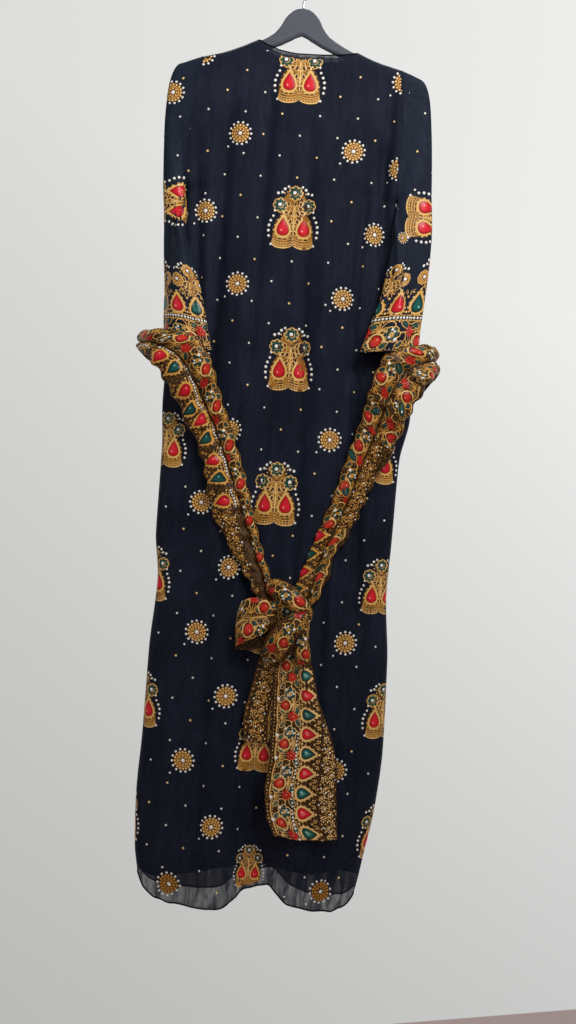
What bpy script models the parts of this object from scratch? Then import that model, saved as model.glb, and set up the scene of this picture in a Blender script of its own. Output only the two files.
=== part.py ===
"""A long printed kaftan with its sash, hanging on a flat wooden hanger.

The origin is the inner top of the hanger's hook, where a rail carries it. Z is up, and the front of
the garment faces -Y. Sizes are in millimetres and become metres where a mesh is made. A drop is a
distance below the top of the wooden hanger.
"""

import math

import bpy
import numpy as np

MM = 0.001
HOOK_TO_WOOD = 62.0

# Cloth and seams.
WALL = 1.4
LINING_WALL = 1.0
SASH_WALL = 2.4
TAIL_WALL = 2.0
SEAM_GAP = 0.3
HALF_GAP = SEAM_GAP / 2

# Hanger.
WOOD_HALF_THICKNESS = 6.0
WOOD_EDGE_ROUND = 5.0
WOOD_TO_CLOTH_TOP = 4.0
HOOK_INNER_RADIUS = 20.0
HOOK_WIRE_RADIUS = 2.0

# Cloth over the hanger's arm turns on this radius.
SHOULDER_ROUND = 10.0
# The armhole ends at this share of the way from shoulder to hem, and closes over the next one.
UNDERARM = 0.1627
UNDERARM_ROUND = 0.018
ARMHOLE_HALF_DEPTH = 13.0
SECTION_POWER = 3.0

LINING_SIDE_INSET = 5.0
LINING_INSET_AT_SHOULDER = 2.2
LINING_INSET_LOW = 6.5

BINDING_RADIUS = 1.3
BINDING_OFF_EDGE = 0.6

# Half of the wooden hanger, from its middle out to its tip: drop of its top and of its underside.
HANGER_ARM = ("out", "top", "under"), (
    (0, 0, 47.5), (10, 1.5, 51.5), (17, 5.4, 56), (24, 12, 59.5), (29.3, 18.7, 62.5),
    (32.6, 25.4, 64.4), (36, 32, 66), (41, 39, 68), (47, 45.8, 70.8), (57, 52.7, 75), (72, 61.3, 81),
    (84, 67.2, 86), (101, 75.3, 92.5), (131, 87.3, 103), (174, 99.3, 115), (191, 106, 120.5),
    (198, 111, 122), (202, 115.5, 120),
)
HANGER_RING_POINTS = 5

# Garment's edges from the front: drop, left edge and right edge of the body.
BODY_EDGE = ("drop", "left", "right"), (
    (90, -165, 172), (115, -169, 176), (158, -175, 179), (190, -178, 180), (250, -180, 179),
    (320, -178.5, 178), (350, -179, 179), (400, -184, 184), (500, -190, 198), (600, -193, 218),
    (680, -195, 225), (760, -191, 211), (900, -192, 207), (980, -184, 204), (1100, -191, 213),
    (1240, -193, 215), (1340, -197, 208), (1430, -194, 193), (1480, -186, 184), (1520, -178, 172),
)
# Neckline from the left shoulder seam to the right one: x and drop.
NECK_LINE = ("x", "drop"), (
    (-62, 67.5), (-48, 73), (-35, 78), (0, 82.5), (37, 82), (69, 79.5), (90, 76.5),
)
NECK_LEFT = -75.0
NECK_RIGHT = 101.0
LINING_BELOW_NECK = 8.0
LINING_NECK_WIDER = 10.0

# Hem edges: x and drop. The middle rises between two lobes.
FRONT_HEM = ("x", "drop"), (
    (-186, 1479), (-177, 1502), (-160, 1515), (-126, 1523), (-60, 1526), (-36, 1524), (-20, 1511),
    (-8, 1491), (12, 1486), (36, 1479), (54, 1496), (75, 1513), (110, 1518), (150, 1520),
    (168, 1514), (180, 1504), (186, 1482),
)
BACK_HEM = ("x", "drop"), (
    (-186, 1478), (-165, 1500), (-110, 1510), (-50, 1508), (-12, 1478), (36, 1466), (75, 1494),
    (130, 1508), (170, 1502), (186, 1480),
)
LINING_HEM = ("x", "drop"), (
    (-186, 1468), (-154, 1480), (-98, 1470), (-35, 1456), (40, 1452), (102, 1460), (150, 1451),
    (186, 1458),
)

# Half depth of the empty body: drop, front and back.
BODY_DEPTH = ("drop", "front", "back"), (
    (60, 10, 10), (115, 10, 10), (200, 14, 13), (320, 16, 14), (600, 18, 16), (800, 23, 18),
    (1030, 28, 22), (1250, 34, 27), (1400, 38, 30), (1530, 38, 31),
)
# Long soft folds, each along a line from its top to its foot. Out is plus for a ridge.
FOLD_COLUMNS = ("x_top", "drop_top", "x_foot", "drop_foot", "half_width", "out")
FRONT_FOLDS = FOLD_COLUMNS, (
    (-136, 150, -108, 560, 13, -3),
    (143, 200, 150, 545, 13, -3),
    (-60, 240, -78, 1540, 26, 8),
    (-122, 700, -130, 1540, 20, -4),
    (52, 170, 92, 1540, 28, 6),
    (-4, 470, 16, 1330, 22, -4),
    (146, 740, 158, 1540, 17, -4),
    (112, 260, 121, 1540, 20, 3.5),
    (-154, 900, -160, 1540, 15, 5),
    (178, 820, 180, 1540, 13, 4),
)
BACK_FOLDS = FOLD_COLUMNS, (
    (-120, 180, -135, 1540, 24, 5),
    (-50, 130, -62, 1540, 26, -3.5),
    (20, 220, 28, 1300, 28, 6),
    (88, 150, 96, 1540, 24, -3.5),
    (140, 300, 150, 1540, 22, 5),
    (-85, 800, -98, 1540, 18, 4),
)
# The two broad folds that part the hem's lobes, shared by the cloth and its lining.
FRONT_HEM_FOLD = FOLD_COLUMNS, ((16, 1250, 18, 1750, 32, -24),)
BACK_HEM_FOLD = FOLD_COLUMNS, ((16, 1250, 22, 1750, 30, -10),)

# Rows run from shoulder and neck to hem, as shares of the way. Columns run from side to side.
ROW_SHARES = (
    0.0, 0.0007, 0.0025, 0.0072, 0.022, 0.05, 0.09, 0.13, 0.152, UNDERARM, 0.205, 0.265, 0.33, 0.4,
    0.47, 0.54, 0.61, 0.68, 0.745, 0.81, 0.87, 0.92, 0.965, 1.0,
)
LINING_ROWS = (0, 1, 2, 3, 4, 6, 7, 8, 9, 11, 12, 13, 14, 15, 17, 19, 21, 22, 23)
# Distances in from each side of a panel, then from each neck corner toward the middle.
SIDE_COLUMNS = (0.0, 2.4, 9.0)
NECK_COLUMNS = (0.0, 1.2, 4.0, 10.0)
COLUMN_SPACING = 17.5
# Drops at which the shoulder seam ends, the hem edge is read, and a row's share of the way is 1.
SHOULDER_END_DROP = 95.0
HEM_EDGE_DROP = 1480.0
FOOT_DROP = 1478.0
# Share of the way down from which rows bend to the hem's line.
HEM_BEND = 0.8

# Sleeves, a row for each ring: the line over the top of the arm, the line under it, and half the
# depth between.
SLEEVE_COLUMNS = ("top_x", "top_drop", "top_y", "under_x", "under_drop", "under_y", "half_depth")
SLEEVE_LEFT = SLEEVE_COLUMNS, (
    (-192, 103, 0, -180.5, 326, 0, 12.5),
    (-209, 112, 0, -181, 334, 0, 12),
    (-219, 142, 0, -180.8, 343, -2, 12),
    (-222.5, 196, -1, -179.9, 354, -5, 12),
    (-221, 253, -3, -177.4, 368.5, -11, 12),
    (-218, 312, -4, -174.5, 387, -14, 13),
    (-213, 368, -5, -168, 412, -20, 14),
    (-209.5, 428, -6, -156, 449, -22, 15),
    (-204, 488, -8, -139, 500, -26, 16),
    (-202, 541, -10, -127, 550, -30, 17),
    (-198, 589, -10, -116, 595, -32, 17),
)
SLEEVE_RIGHT = SLEEVE_COLUMNS, (
    (197, 103.8, 0, 180, 327, 0, 12.5),
    (214, 114, 0, 180.5, 335, 0, 12),
    (224.5, 143, 0, 180.3, 344, -2, 12),
    (231, 198, -1, 179.4, 355, -5, 12),
    (235, 255, -3, 177, 369, -9, 12),
    (238, 312, -4, 174.5, 387, -12, 13),
    (242, 366, -5, 172, 412, -18, 14),
    (241, 424, -6, 168, 447, -22, 15),
    (237, 480, -8, 159, 496, -26, 16),
    (233, 528, -10, 148, 540, -30, 17),
    (231, 569, -10, 137, 577, -32, 17),
)
# Rings from this one down lie on the body, clear of its side by a growing round.
FIRST_RING_ON_BODY = 3
RINGS_TO_SETTLE = 4
SLEEVE_SIDE_CLEAR = (1.5, 6.0)
SLEEVE_SIDE_SLOPE = (5.0, 1.2)
ARMHOLE_ROWS = 10
ARMHOLE_BOW_FADE = 0.3
SLEEVE_OFF_BODY = 1.2

# Sash: the stretch across the back, the two arms that come round the sleeves, knot and tails.
SASH_BACK_TOP = 560.0
SASH_BACK_FOOT = 641.0
SASH_OFF_CLOTH = 1.0
ARM_COLUMNS = ("upper_x", "upper_y", "upper_drop", "lower_x", "lower_y", "lower_drop")
SASH_ARM_LEFT = ARM_COLUMNS, (
    (-214, 16, 560, -214, 16, 641),
    (-230, 9, 563, -233, 8, 624),
    (-232, -10, 564, -240, -6, 606),
    (-200, -50, 565, -230, -30, 608),
    (-146, -61, 573, -206, -52, 628),
    (-114, -60, 612, -181, -52, 664),
    (-97, -42, 662, -153, -36, 712),
    (-66, -32, 742, -121, -30, 776),
    (-41, -31, 815, -97, -30, 840),
    (-25, -33, 872, -72, -32, 894),
    (-3, -37, 938, -40, -36, 958),
    (24, -41.5, 1002, -6, -41, 1012),
)
SASH_ARM_RIGHT = ARM_COLUMNS, (
    (234, 20, 560, 234, 20, 641),
    (250, 12, 564, 252, 12, 632),
    (256, -8, 568, 264, -4, 612),
    (232, -48, 572, 258, -26, 618),
    (186, -61, 590, 243, -48, 640),
    (158, -58, 640, 219, -50, 684),
    (141, -42, 690, 200, -37, 738),
    (121, -33, 756, 172, -30, 790),
    (100, -31, 832, 154, -30, 838),
    (80, -32, 886, 137, -31, 880),
    (62, -35, 940, 112, -34, 926),
    (47, -39, 985, 99, -38, 976),
    (42, -42, 1012, 76, -41, 1014),
)
ARM_STATIONS = 20
BAND_RIDGES = (0.0, 3.6, 5.2, 3.2, 0.4, 3.4, 4.8, 3.0, 0.0)
KNOT_CENTRE = (34.0, -57.0, 1032.0)
KNOT_HALF = (37.0, 21.0, 54.0)
KNOT_REAR_HALF = 11.0
KNOT_TILT = -8.0
KNOT_PLEATS = 5
KNOT_PLEAT_DEPTH = 0.09
LOOP_TOP = 1006.0
LOOP_FOOT = 1092.0
LOOP_MIDDLE_Y = -61.0
LOOP_PATH = ("x", "y"), (
    (-2.5, -69), (-14, -75), (-30, -73), (-43, -66), (-47, -58), (-41, -50), (-28, -46.5),
    (-14, -47), (-5, -50),
)
TAIL_COLUMNS = ("drop", "left", "right", "lift", "pleat")
TAIL_FRONT = TAIL_COLUMNS, (
    (1072, 24, 70, 14.5, 4.5),
    (1117, 24, 88, 14, 4.5),
    (1162, 24, 99, 14, 4),
    (1210, 25, 119, 14, 3.5),
    (1269, 25, 137, 14, 3.5),
    (1314, 20, 139.5, 13, 3),
    (1362, 25, 143, 12, 3),
    (1398, 40, 146, 12, 2.5),
)
TAIL_BACK = TAIL_COLUMNS, (
    (1078, 0, 46, 6, 2),
    (1120, -7, 50, 6, 2),
    (1160, -15, 54, 6, 2),
    (1200, -23, 58, 6, 2),
    (1240, -21, 61, 6, 2),
)
TAIL_ACROSS = 11
TAIL_WAVES = 2.5


def column(table, name):
    """One named column of a table."""
    names, rows = table
    return np.array([row[names.index(name)] for row in rows], dtype=float)


def smooth(keys, values, at):
    """A smooth curve through the rows of a table that never overshoots them."""
    keys = np.asarray(keys, dtype=float)
    values = np.asarray(values, dtype=float)
    steps = np.diff(keys)
    slopes = np.diff(values) / steps
    tangents = np.zeros(len(keys))
    tangents[0], tangents[-1] = slopes[0], slopes[-1]
    for i in range(1, len(keys) - 1):
        if slopes[i - 1] * slopes[i] > 0:
            tangents[i] = 2 * slopes[i - 1] * slopes[i] / (slopes[i - 1] + slopes[i])
    at = np.clip(np.asarray(at, dtype=float), keys[0], keys[-1])
    i = np.clip(np.searchsorted(keys, at, side="right") - 1, 0, len(steps) - 1)
    t = (at - keys[i]) / steps[i]
    return (
        values[i] * (1 + 2 * t) * (1 - t) ** 2
        + tangents[i] * steps[i] * t * (1 - t) ** 2
        + values[i + 1] * t * t * (3 - 2 * t)
        + tangents[i + 1] * steps[i] * t * t * (t - 1)
    )


def read(table, key, name, at):
    return smooth(column(table, key), column(table, name), at)


def ease(t):
    t = np.clip(t, 0, 1)
    return t * t * (3 - 2 * t)


def quarter_round(t):
    """Rises from 0 to 1 like a quarter circle, then stays."""
    t = np.clip(t, 0, 1)
    return np.sqrt(1 - (1 - t) ** 2)


def ridge_drop(x):
    """Drop of the cloth's top where it lies over the hanger's arm."""
    return read(HANGER_ARM, "out", "top", np.abs(x)) - WOOD_TO_CLOTH_TOP


def top_drop(x, wider=0.0, lower=0.0):
    """Drop of a panel's upper edge: shoulder seam, then neckline, then shoulder seam."""
    left = NECK_LEFT - wider
    right = NECK_RIGHT + wider
    inner = [row for row in NECK_LINE[1] if left + 8 < row[0] < right - 8]
    keys = [left] + [row[0] for row in inner] + [right]
    drops = [float(ridge_drop(left))] + [row[1] + lower for row in inner] + [float(ridge_drop(right))]
    neck = smooth(keys, drops, x)
    return np.where((x > left) & (x < right), np.maximum(neck, ridge_drop(x)), ridge_drop(x))


def folds(table, x, drop):
    """Sum of the soft folds at a place on a panel."""
    total = np.zeros_like(x)
    for x_top, drop_top, x_foot, drop_foot, half_width, out in table[1]:
        along = (drop - drop_top) / (drop_foot - drop_top)
        line = x_top + (x_foot - x_top) * along
        across = np.exp(-(((x - line) / half_width) ** 2))
        fade = ease(along / 0.25) * ease((1 - along) / 0.12 + 0.25)
        total = total + out * across * fade
    return total


class Body:
    """Places on the front or back of the body, for a share across and a share down."""

    def __init__(self, side, lining=False):
        self.side = side
        self.lining = lining
        self.depth_name = "front" if side < 0 else "back"
        self.fold_table = FRONT_FOLDS if side < 0 else BACK_FOLDS
        self.hem_fold = FRONT_HEM_FOLD if side < 0 else BACK_HEM_FOLD
        self.hem = FRONT_HEM if side < 0 else BACK_HEM
        if lining:
            self.hem = LINING_HEM

    def edges(self, drop):
        inset = LINING_SIDE_INSET if self.lining else 0.0
        left = read(BODY_EDGE, "drop", "left", drop) + inset
        right = read(BODY_EDGE, "drop", "right", drop) - inset
        return left, right

    def inset(self, drop):
        if not self.lining:
            return 0.0
        deeper = LINING_INSET_LOW - LINING_INSET_AT_SHOULDER
        return LINING_INSET_AT_SHOULDER + deeper * ease((drop - 115) / 120)

    def depth(self, x, drop, share_down):
        """Distance of the outer face from the middle plane."""
        left, right = self.edges(drop)
        across = np.clip(np.abs(2 * (x - left) / (right - left) - 1), 0, 1)
        oval = (1 - across**SECTION_POWER) ** (1 / SECTION_POWER)
        open_edge = ARMHOLE_HALF_DEPTH * quarter_round((UNDERARM - share_down) / UNDERARM_ROUND)
        full = read(BODY_DEPTH, "drop", self.depth_name, drop)
        open_edge = np.minimum(open_edge, full)
        if self.lining:
            full = full - self.inset(drop)
            open_edge = np.maximum(open_edge - self.inset(drop), 0)
        shape = open_edge + (full - open_edge) * oval
        if not self.lining:
            shape = shape + oval * folds(self.fold_table, x, drop)
        shape = shape + oval * folds(self.hem_fold, x, drop)
        turn = SHOULDER_ROUND - self.inset(np.full_like(drop, 100.0))
        below = drop - ridge_drop(x) - (SHOULDER_ROUND - turn)
        return np.maximum(shape, 0) * quarter_round(below / turn)

    def columns(self):
        """Shares across at which the panel has a column, with some at each neck corner."""
        left, right = self.edges(SHOULDER_END_DROP)
        wider = LINING_NECK_WIDER if self.lining else 0.0
        corners = (NECK_LEFT - wider, NECK_RIGHT + wider)
        placed = [left + step for step in SIDE_COLUMNS] + [right - step for step in SIDE_COLUMNS]
        placed += [corners[0] + step for step in NECK_COLUMNS]
        placed += [corners[1] - step for step in NECK_COLUMNS]
        spans = sorted(placed)
        for low, high in zip(spans[:-1], spans[1:]):
            parts = max(1, round((high - low) / COLUMN_SPACING))
            placed += [low + (high - low) * step / parts for step in range(1, parts)]
        return (np.array(sorted(placed)) - left) / (right - left)

    def grid(self, shares_across, shares_down):
        """Rows of points on the outer face."""
        u, f = np.meshgrid(shares_across, shares_down)
        left, right = self.edges(np.full_like(u, SHOULDER_END_DROP))
        x_top = left + (right - left) * u
        wider = LINING_NECK_WIDER if self.lining else 0.0
        lower = LINING_BELOW_NECK if self.lining else 0.0
        top = top_drop(x_top, wider, lower)
        if self.lining:
            top = top + LINING_INSET_AT_SHOULDER
        left, right = self.edges(np.full_like(u, HEM_EDGE_DROP))
        hem = read(self.hem, "x", "drop", left + (right - left) * u)
        bend = ease((f - HEM_BEND) / (1 - HEM_BEND)) * f
        drop = top + (FOOT_DROP - top) * f + (hem - FOOT_DROP) * bend
        left, right = self.edges(drop)
        x = left + (right - left) * u
        y = self.side * (HALF_GAP + self.depth(x, drop, f))
        return np.stack([x, y, drop], axis=-1)


FRONT = Body(-1)
BACK = Body(1)


def share_down_at(x, drop):
    top = top_drop(x)
    return (drop - top) / (FOOT_DROP - top)


def body_depth_at(body, x, drop):
    x = np.asarray(x, dtype=float)
    drop = np.asarray(drop, dtype=float)
    return body.depth(x, drop, share_down_at(x, drop))


def normals(points, around=False):
    """Unit normals of a grid of points."""
    if around:
        wrapped = np.concatenate([points[:, -1:], points, points[:, :1]], axis=1)
        across = (wrapped[:, 2:] - wrapped[:, :-2])
    else:
        across = np.gradient(points, axis=1)
    down = np.gradient(points, axis=0)
    normal = np.cross(across, down)
    length = np.linalg.norm(normal, axis=-1, keepdims=True)
    return normal / np.maximum(length, 1e-9)


def unit(vectors):
    return vectors / np.maximum(np.linalg.norm(vectors, axis=-1, keepdims=True), 1e-9)


def to_world(points):
    """From x, y and drop in millimetres to metres about the hook."""
    world = np.array(points, dtype=float)
    world[..., 2] = -(world[..., 2] + HOOK_TO_WOOD)
    return world * MM


def fabric(name, colour, roughness):
    material = bpy.data.materials.new(name)
    material.use_nodes = True
    shader = material.node_tree.nodes["Principled BSDF"]
    shader.inputs["Base Color"].default_value = (*colour, 1.0)
    shader.inputs["Roughness"].default_value = roughness
    shader.inputs["Metallic"].default_value = 0.0
    return material


def add_object(name, mesh, material):
    mesh.materials.append(material)
    obj = bpy.data.objects.new(name, mesh)
    PARTS.objects.link(obj)
    return obj


def wall(name, outer, inner, material, around=False):
    """A closed wall between two grids of points."""
    rows, cols = outer.shape[:2]
    count = rows * cols
    vertices = np.concatenate([to_world(outer).reshape(-1, 3), to_world(inner).reshape(-1, 3)])
    faces = []
    spans = cols if around else cols - 1
    for r in range(rows - 1):
        for c in range(spans):
            a = r * cols + c
            b = r * cols + (c + 1) % cols
            low_a = a + cols
            low_b = b + cols
            faces.append((a, b, low_b, low_a))
            faces.append((a + count, low_a + count, low_b + count, b + count))
    for c in range(spans):
        a, b = c, (c + 1) % cols
        faces.append((a, a + count, b + count, b))
        a, b = a + (rows - 1) * cols, b + (rows - 1) * cols
        faces.append((a, b, b + count, a + count))
    if not around:
        for r in range(rows - 1):
            a, b = r * cols, (r + 1) * cols
            faces.append((a, b, b + count, a + count))
            a, b = a + cols - 1, b + cols - 1
            faces.append((a, a + count, b + count, b))
    mesh = bpy.data.meshes.new(name)
    mesh.from_pydata([tuple(v) for v in vertices], [], faces)
    mesh.validate()
    if signed_volume(mesh) < 0:
        mesh.flip_normals()
    mesh.shade_smooth()
    mesh.set_sharp_from_angle(angle=math.radians(50))
    return add_object(name, mesh, material)


def signed_volume(mesh):
    total = 0.0
    for face in mesh.polygons:
        corners = [mesh.vertices[i].co for i in face.vertices]
        for i in range(1, len(corners) - 1):
            total += corners[0].dot(corners[i].cross(corners[i + 1])) / 6
    return total


def panel(name, body, rows, thickness, material):
    """One side of the body, seamed to the other along shoulders and sides."""
    shares = body.columns()
    down = np.array([ROW_SHARES[i] for i in rows])
    outer = body.grid(shares, down)
    normal = normals(outer)
    if normal[len(down) // 2, len(shares) // 2, 1] * body.side < 0:
        normal = -normal
    depth = np.abs(outer[..., 1]) - HALF_GAP
    facing = np.array([0.0, body.side, 0.0])
    for col, sideways in ((0, -1.0), (-1, 1.0)):
        openness = ease(depth[:, col] / 4)[:, None]
        edge_normal = openness * facing + (1 - openness) * np.array([sideways, 0.0, 0.0])
        normal[:, col] = unit(edge_normal)
    openness = ease(depth[0] / 5)[:, None]
    upward = np.array([0.0, 0.0, -1.0])
    normal[0] = unit(openness * normal[0] + (1 - openness) * upward)
    inner = outer - normal * thickness
    inner[..., 1] = body.side * np.maximum(inner[..., 1] * body.side, HALF_GAP)
    return wall(name, outer, inner, material)


def armhole_ring(sideways):
    """Edge of the armhole: x, half depth and drop for each row down to the underarm."""
    share = 0.0 if sideways < 0 else 1.0
    down = np.array(ROW_SHARES[:ARMHOLE_ROWS])
    front = FRONT.grid(np.array([share]), down)[:, 0]
    back = BACK.grid(np.array([share]), down)[:, 0]
    return front, back


def room_beside_body(sideways, x, drop, ring):
    """How far back a sleeve's rear wall may lie beside or in front of the body."""
    settled = ease((ring - FIRST_RING_ON_BODY) / RINGS_TO_SETTLE)
    clear = SLEEVE_SIDE_CLEAR[0] + (SLEEVE_SIDE_CLEAR[1] - SLEEVE_SIDE_CLEAR[0]) * settled
    slope = SLEEVE_SIDE_SLOPE[0] + (SLEEVE_SIDE_SLOPE[1] - SLEEVE_SIDE_SLOPE[0]) * settled
    left, right = FRONT.edges(drop)
    edge = left if sideways < 0 else right
    outside = (x - edge) * sideways - clear
    on_body = -body_depth_at(FRONT, x - sideways * clear, drop)
    return np.where(outside > 0, outside * slope, on_body) - SLEEVE_OFF_BODY


def sleeve(name, sideways, table, material):
    """A sleeve as rings that fan round the underarm, from the armhole to the cuff."""
    front, back = armhole_ring(sideways)
    steps = len(front) - 1
    even = (1 - np.cos(np.linspace(0, math.pi, steps + 1))) / 2
    length = front[-1, 2] - front[0, 2]
    first = (front[:, 2] - front[0, 2]) / length
    rings = []
    ring_front = front + np.array([sideways * (SEAM_GAP + 0.1), 0.0, 0.0])
    ring_back = back + np.array([sideways * (SEAM_GAP + 0.1), 0.0, 0.0])
    for ring in (ring_front, ring_back):
        ring[0, 1] = 0.0
        ring[-1, 1] = 0.0
    rings.append(np.concatenate([ring_front, ring_back[-2:0:-1]]))
    armhole_shape = np.abs(front[:, 1]) / ARMHOLE_HALF_DEPTH
    armhole_shape[0] = 0.0
    armhole_shape[-1] = 0.0
    bow = front[:, 0] - (front[0, 0] + (front[-1, 0] - front[0, 0]) * first)
    for i, row in enumerate(table[1]):
        top_x, drop_top, top_y, under_x, under_drop, under_y, half_depth = row
        settle = ease((i + 1) / 5)
        share = first + (even - first) * settle
        rounded = np.sin(np.pi * np.arange(steps + 1) / steps) ** 0.7
        shape = armhole_shape * (1 - settle) + rounded * settle
        shape[0], shape[-1] = 0.0, 0.0
        x = top_x + (under_x - top_x) * share + bow * ARMHOLE_BOW_FADE ** (i + 1)
        drop = drop_top + (under_drop - drop_top) * share
        half = half_depth * shape
        middle = top_y + (under_y - top_y) * share**1.5
        if i >= FIRST_RING_ON_BODY:
            middle = np.minimum(middle, room_beside_body(sideways, x, drop, i) - half)
        face = np.stack([x, middle - half, drop], axis=-1)
        rear = np.stack([x, middle + half, drop], axis=-1)
        rings.append(np.concatenate([face, rear[-2:0:-1]]))
    outer = np.array(rings)
    normal = normals(outer, around=True)
    middle_point = outer.mean(axis=1, keepdims=True)
    if np.sum(normal * (outer - middle_point)) < 0:
        normal = -normal
    first_ring = outer[0]
    tangent = np.roll(first_ring, -1, axis=0) - np.roll(first_ring, 1, axis=0)
    tangent[:, 0] = 0.0
    turned = unit(np.stack([np.zeros(len(tangent)), tangent[:, 2], -tangent[:, 1]], axis=-1))
    centre = first_ring.mean(axis=0)
    outward = np.sign(np.sum(turned * (first_ring - centre)))
    normal[0] = turned * outward
    inner = outer - normal * WALL
    return wall(name, outer, inner, material, around=True)


def hanger_body(material):
    """Flat wooden hanger with a round hump, as upright sections from tip to tip."""
    half = HANGER_ARM[1]
    stations = [(-out, top, under) for out, top, under in reversed(half[1:])] + list(half)
    turn = np.linspace(0, math.pi, HANGER_RING_POINTS)
    flat = WOOD_HALF_THICKNESS - WOOD_EDGE_ROUND
    rings = []
    for x, top, under in stations:
        radius = min(WOOD_EDGE_ROUND, (under - top) / 2 - 0.2)
        side = np.sign(-np.cos(turn)) * flat * radius / WOOD_EDGE_ROUND - radius * np.cos(turn)
        upper = top + radius * (1 - np.sin(turn))
        lower = under - radius * (1 - np.sin(turn))
        ring_y = np.concatenate([side, side[::-1]])
        ring_drop = np.concatenate([upper, lower[::-1]])
        rings.append(np.stack([np.full(len(ring_y), x), ring_y, ring_drop], axis=-1))
    points = len(rings[0])
    faces = []
    for station in range(len(rings) - 1):
        for i in range(points):
            a = station * points + i
            b = station * points + (i + 1) % points
            faces.append((a, b, b + points, a + points))
    faces.append(tuple(range(points))[::-1])
    faces.append(tuple(range((len(rings) - 1) * points, len(rings) * points)))
    mesh = bpy.data.meshes.new("hanger_body")
    mesh.from_pydata([tuple(v) for v in to_world(np.concatenate(rings))], [], faces)
    if signed_volume(mesh) < 0:
        mesh.flip_normals()
    mesh.shade_smooth()
    mesh.set_sharp_from_angle(angle=math.radians(50))
    return add_object("hanger_body", mesh, material)


def hanger_hook(metal):
    """Wire hook that stands in the hanger's hump."""
    wire = bpy.data.curves.new("hanger_hook", "CURVE")
    wire.dimensions = "3D"
    wire.bevel_depth = HOOK_WIRE_RADIUS * MM
    wire.bevel_resolution = 2
    wire.use_fill_caps = True
    radius = HOOK_INNER_RADIUS + HOOK_WIRE_RADIUS
    foot = -HOOK_TO_WOOD + SEAM_GAP
    points = [(0.0, foot), (0.0, foot + 8.0), (0.6, foot + 13.0)]
    for step in range(17):
        angle = math.radians(-74 + step * 17)
        points.append((radius * math.cos(angle), -HOOK_INNER_RADIUS + radius * math.sin(angle)))
    spline = wire.splines.new("POLY")
    spline.points.add(len(points) - 1)
    for point, (x, z) in zip(spline.points, points):
        point.co = (x * MM, 0.0, z * MM, 1.0)
    wire.materials.append(metal)
    hook = bpy.data.objects.new("hanger_hook", wire)
    PARTS.objects.link(hook)
    weld = hook.modifiers.new("weld", "WELD")
    weld.merge_threshold = 0.00001
    return hook


def neck_path():
    """Closed path just above the neck edges, over the hanger's arms on both sides."""
    left, right = FRONT.edges(SHOULDER_END_DROP)
    x = left + (right - left) * FRONT.columns()
    x = x[(x > NECK_LEFT - 0.5) & (x < NECK_RIGHT + 0.5)]
    drop = top_drop(x)
    sides = []
    for body in (FRONT, BACK):
        depth = body.depth(x, drop, np.zeros_like(x))
        sides.append(np.stack([x, body.side * depth, drop], axis=-1))
    loop = np.concatenate([sides[0], sides[1][-2:0:-1]])
    tangent = unit(np.roll(loop, -1, axis=0) - np.roll(loop, 1, axis=0))
    flat = unit(np.stack([np.zeros(len(loop)), loop[:, 1], np.zeros(len(loop))], axis=-1))
    over = np.clip(np.abs(loop[:, 1:2]) / SHOULDER_ROUND, 0, 1)
    upward = np.array([0.0, 0.0, -1.0])
    surface = unit(flat * over + upward * np.sqrt(1 - over**2))
    away = unit(np.cross(tangent, surface))
    middle = loop.mean(axis=0) - np.array([0.0, 0.0, 30.0])
    away = away * np.sign(np.sum(away * (middle - loop), axis=-1, keepdims=True))
    return loop - surface * WALL / 2 + away * (BINDING_RADIUS + BINDING_OFF_EDGE)


def neck_binding(material):
    points = to_world(neck_path())
    curve = bpy.data.curves.new("neck_binding", "CURVE")
    curve.dimensions = "3D"
    curve.bevel_depth = BINDING_RADIUS * MM
    curve.bevel_resolution = 1
    spline = curve.splines.new("POLY")
    spline.points.add(len(points) - 1)
    for point, co in zip(spline.points, points):
        point.co = (*co, 1.0)
    spline.use_cyclic_u = True
    curve.materials.append(material)
    obj = bpy.data.objects.new("neck_binding", curve)
    PARTS.objects.link(obj)
    return obj


def sash_back(material):
    """The sash's stretch across the back of the body."""
    left, right = SASH_ARM_LEFT[1][0], SASH_ARM_RIGHT[1][0]
    edges = BACK.edges(SASH_BACK_TOP)
    x = edges[0] + (edges[1] - edges[0]) * BACK.columns()
    x = x[(x > left[0] + 12) & (x < right[0] - 12)]
    x = np.concatenate([[left[0] + 0.5], x, [right[0] - 0.5]])
    tops = np.linspace(SASH_BACK_TOP, SASH_BACK_FOOT, 6)
    grid_x, grid_drop = np.meshgrid(x, tops)
    depth = body_depth_at(BACK, grid_x, grid_drop)
    band = left[1] + (right[1] - left[1]) * (grid_x - x[0]) / (x[-1] - x[0])
    across = (grid_drop - SASH_BACK_TOP) / (SASH_BACK_FOOT - SASH_BACK_TOP)
    ridge = smooth(np.linspace(0, 1, len(BAND_RIDGES)), BAND_RIDGES, across)
    end = ease(np.minimum(grid_x - x[0], x[-1] - grid_x) / 60)
    y = np.maximum(band, depth + SASH_OFF_CLOTH + SASH_WALL) + ridge * 0.8 * end
    outer = np.stack([grid_x, y, grid_drop], axis=-1)
    inner = outer - np.array([0.0, SASH_WALL, 0.0])
    return wall("sash_back", outer, inner, material)


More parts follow.
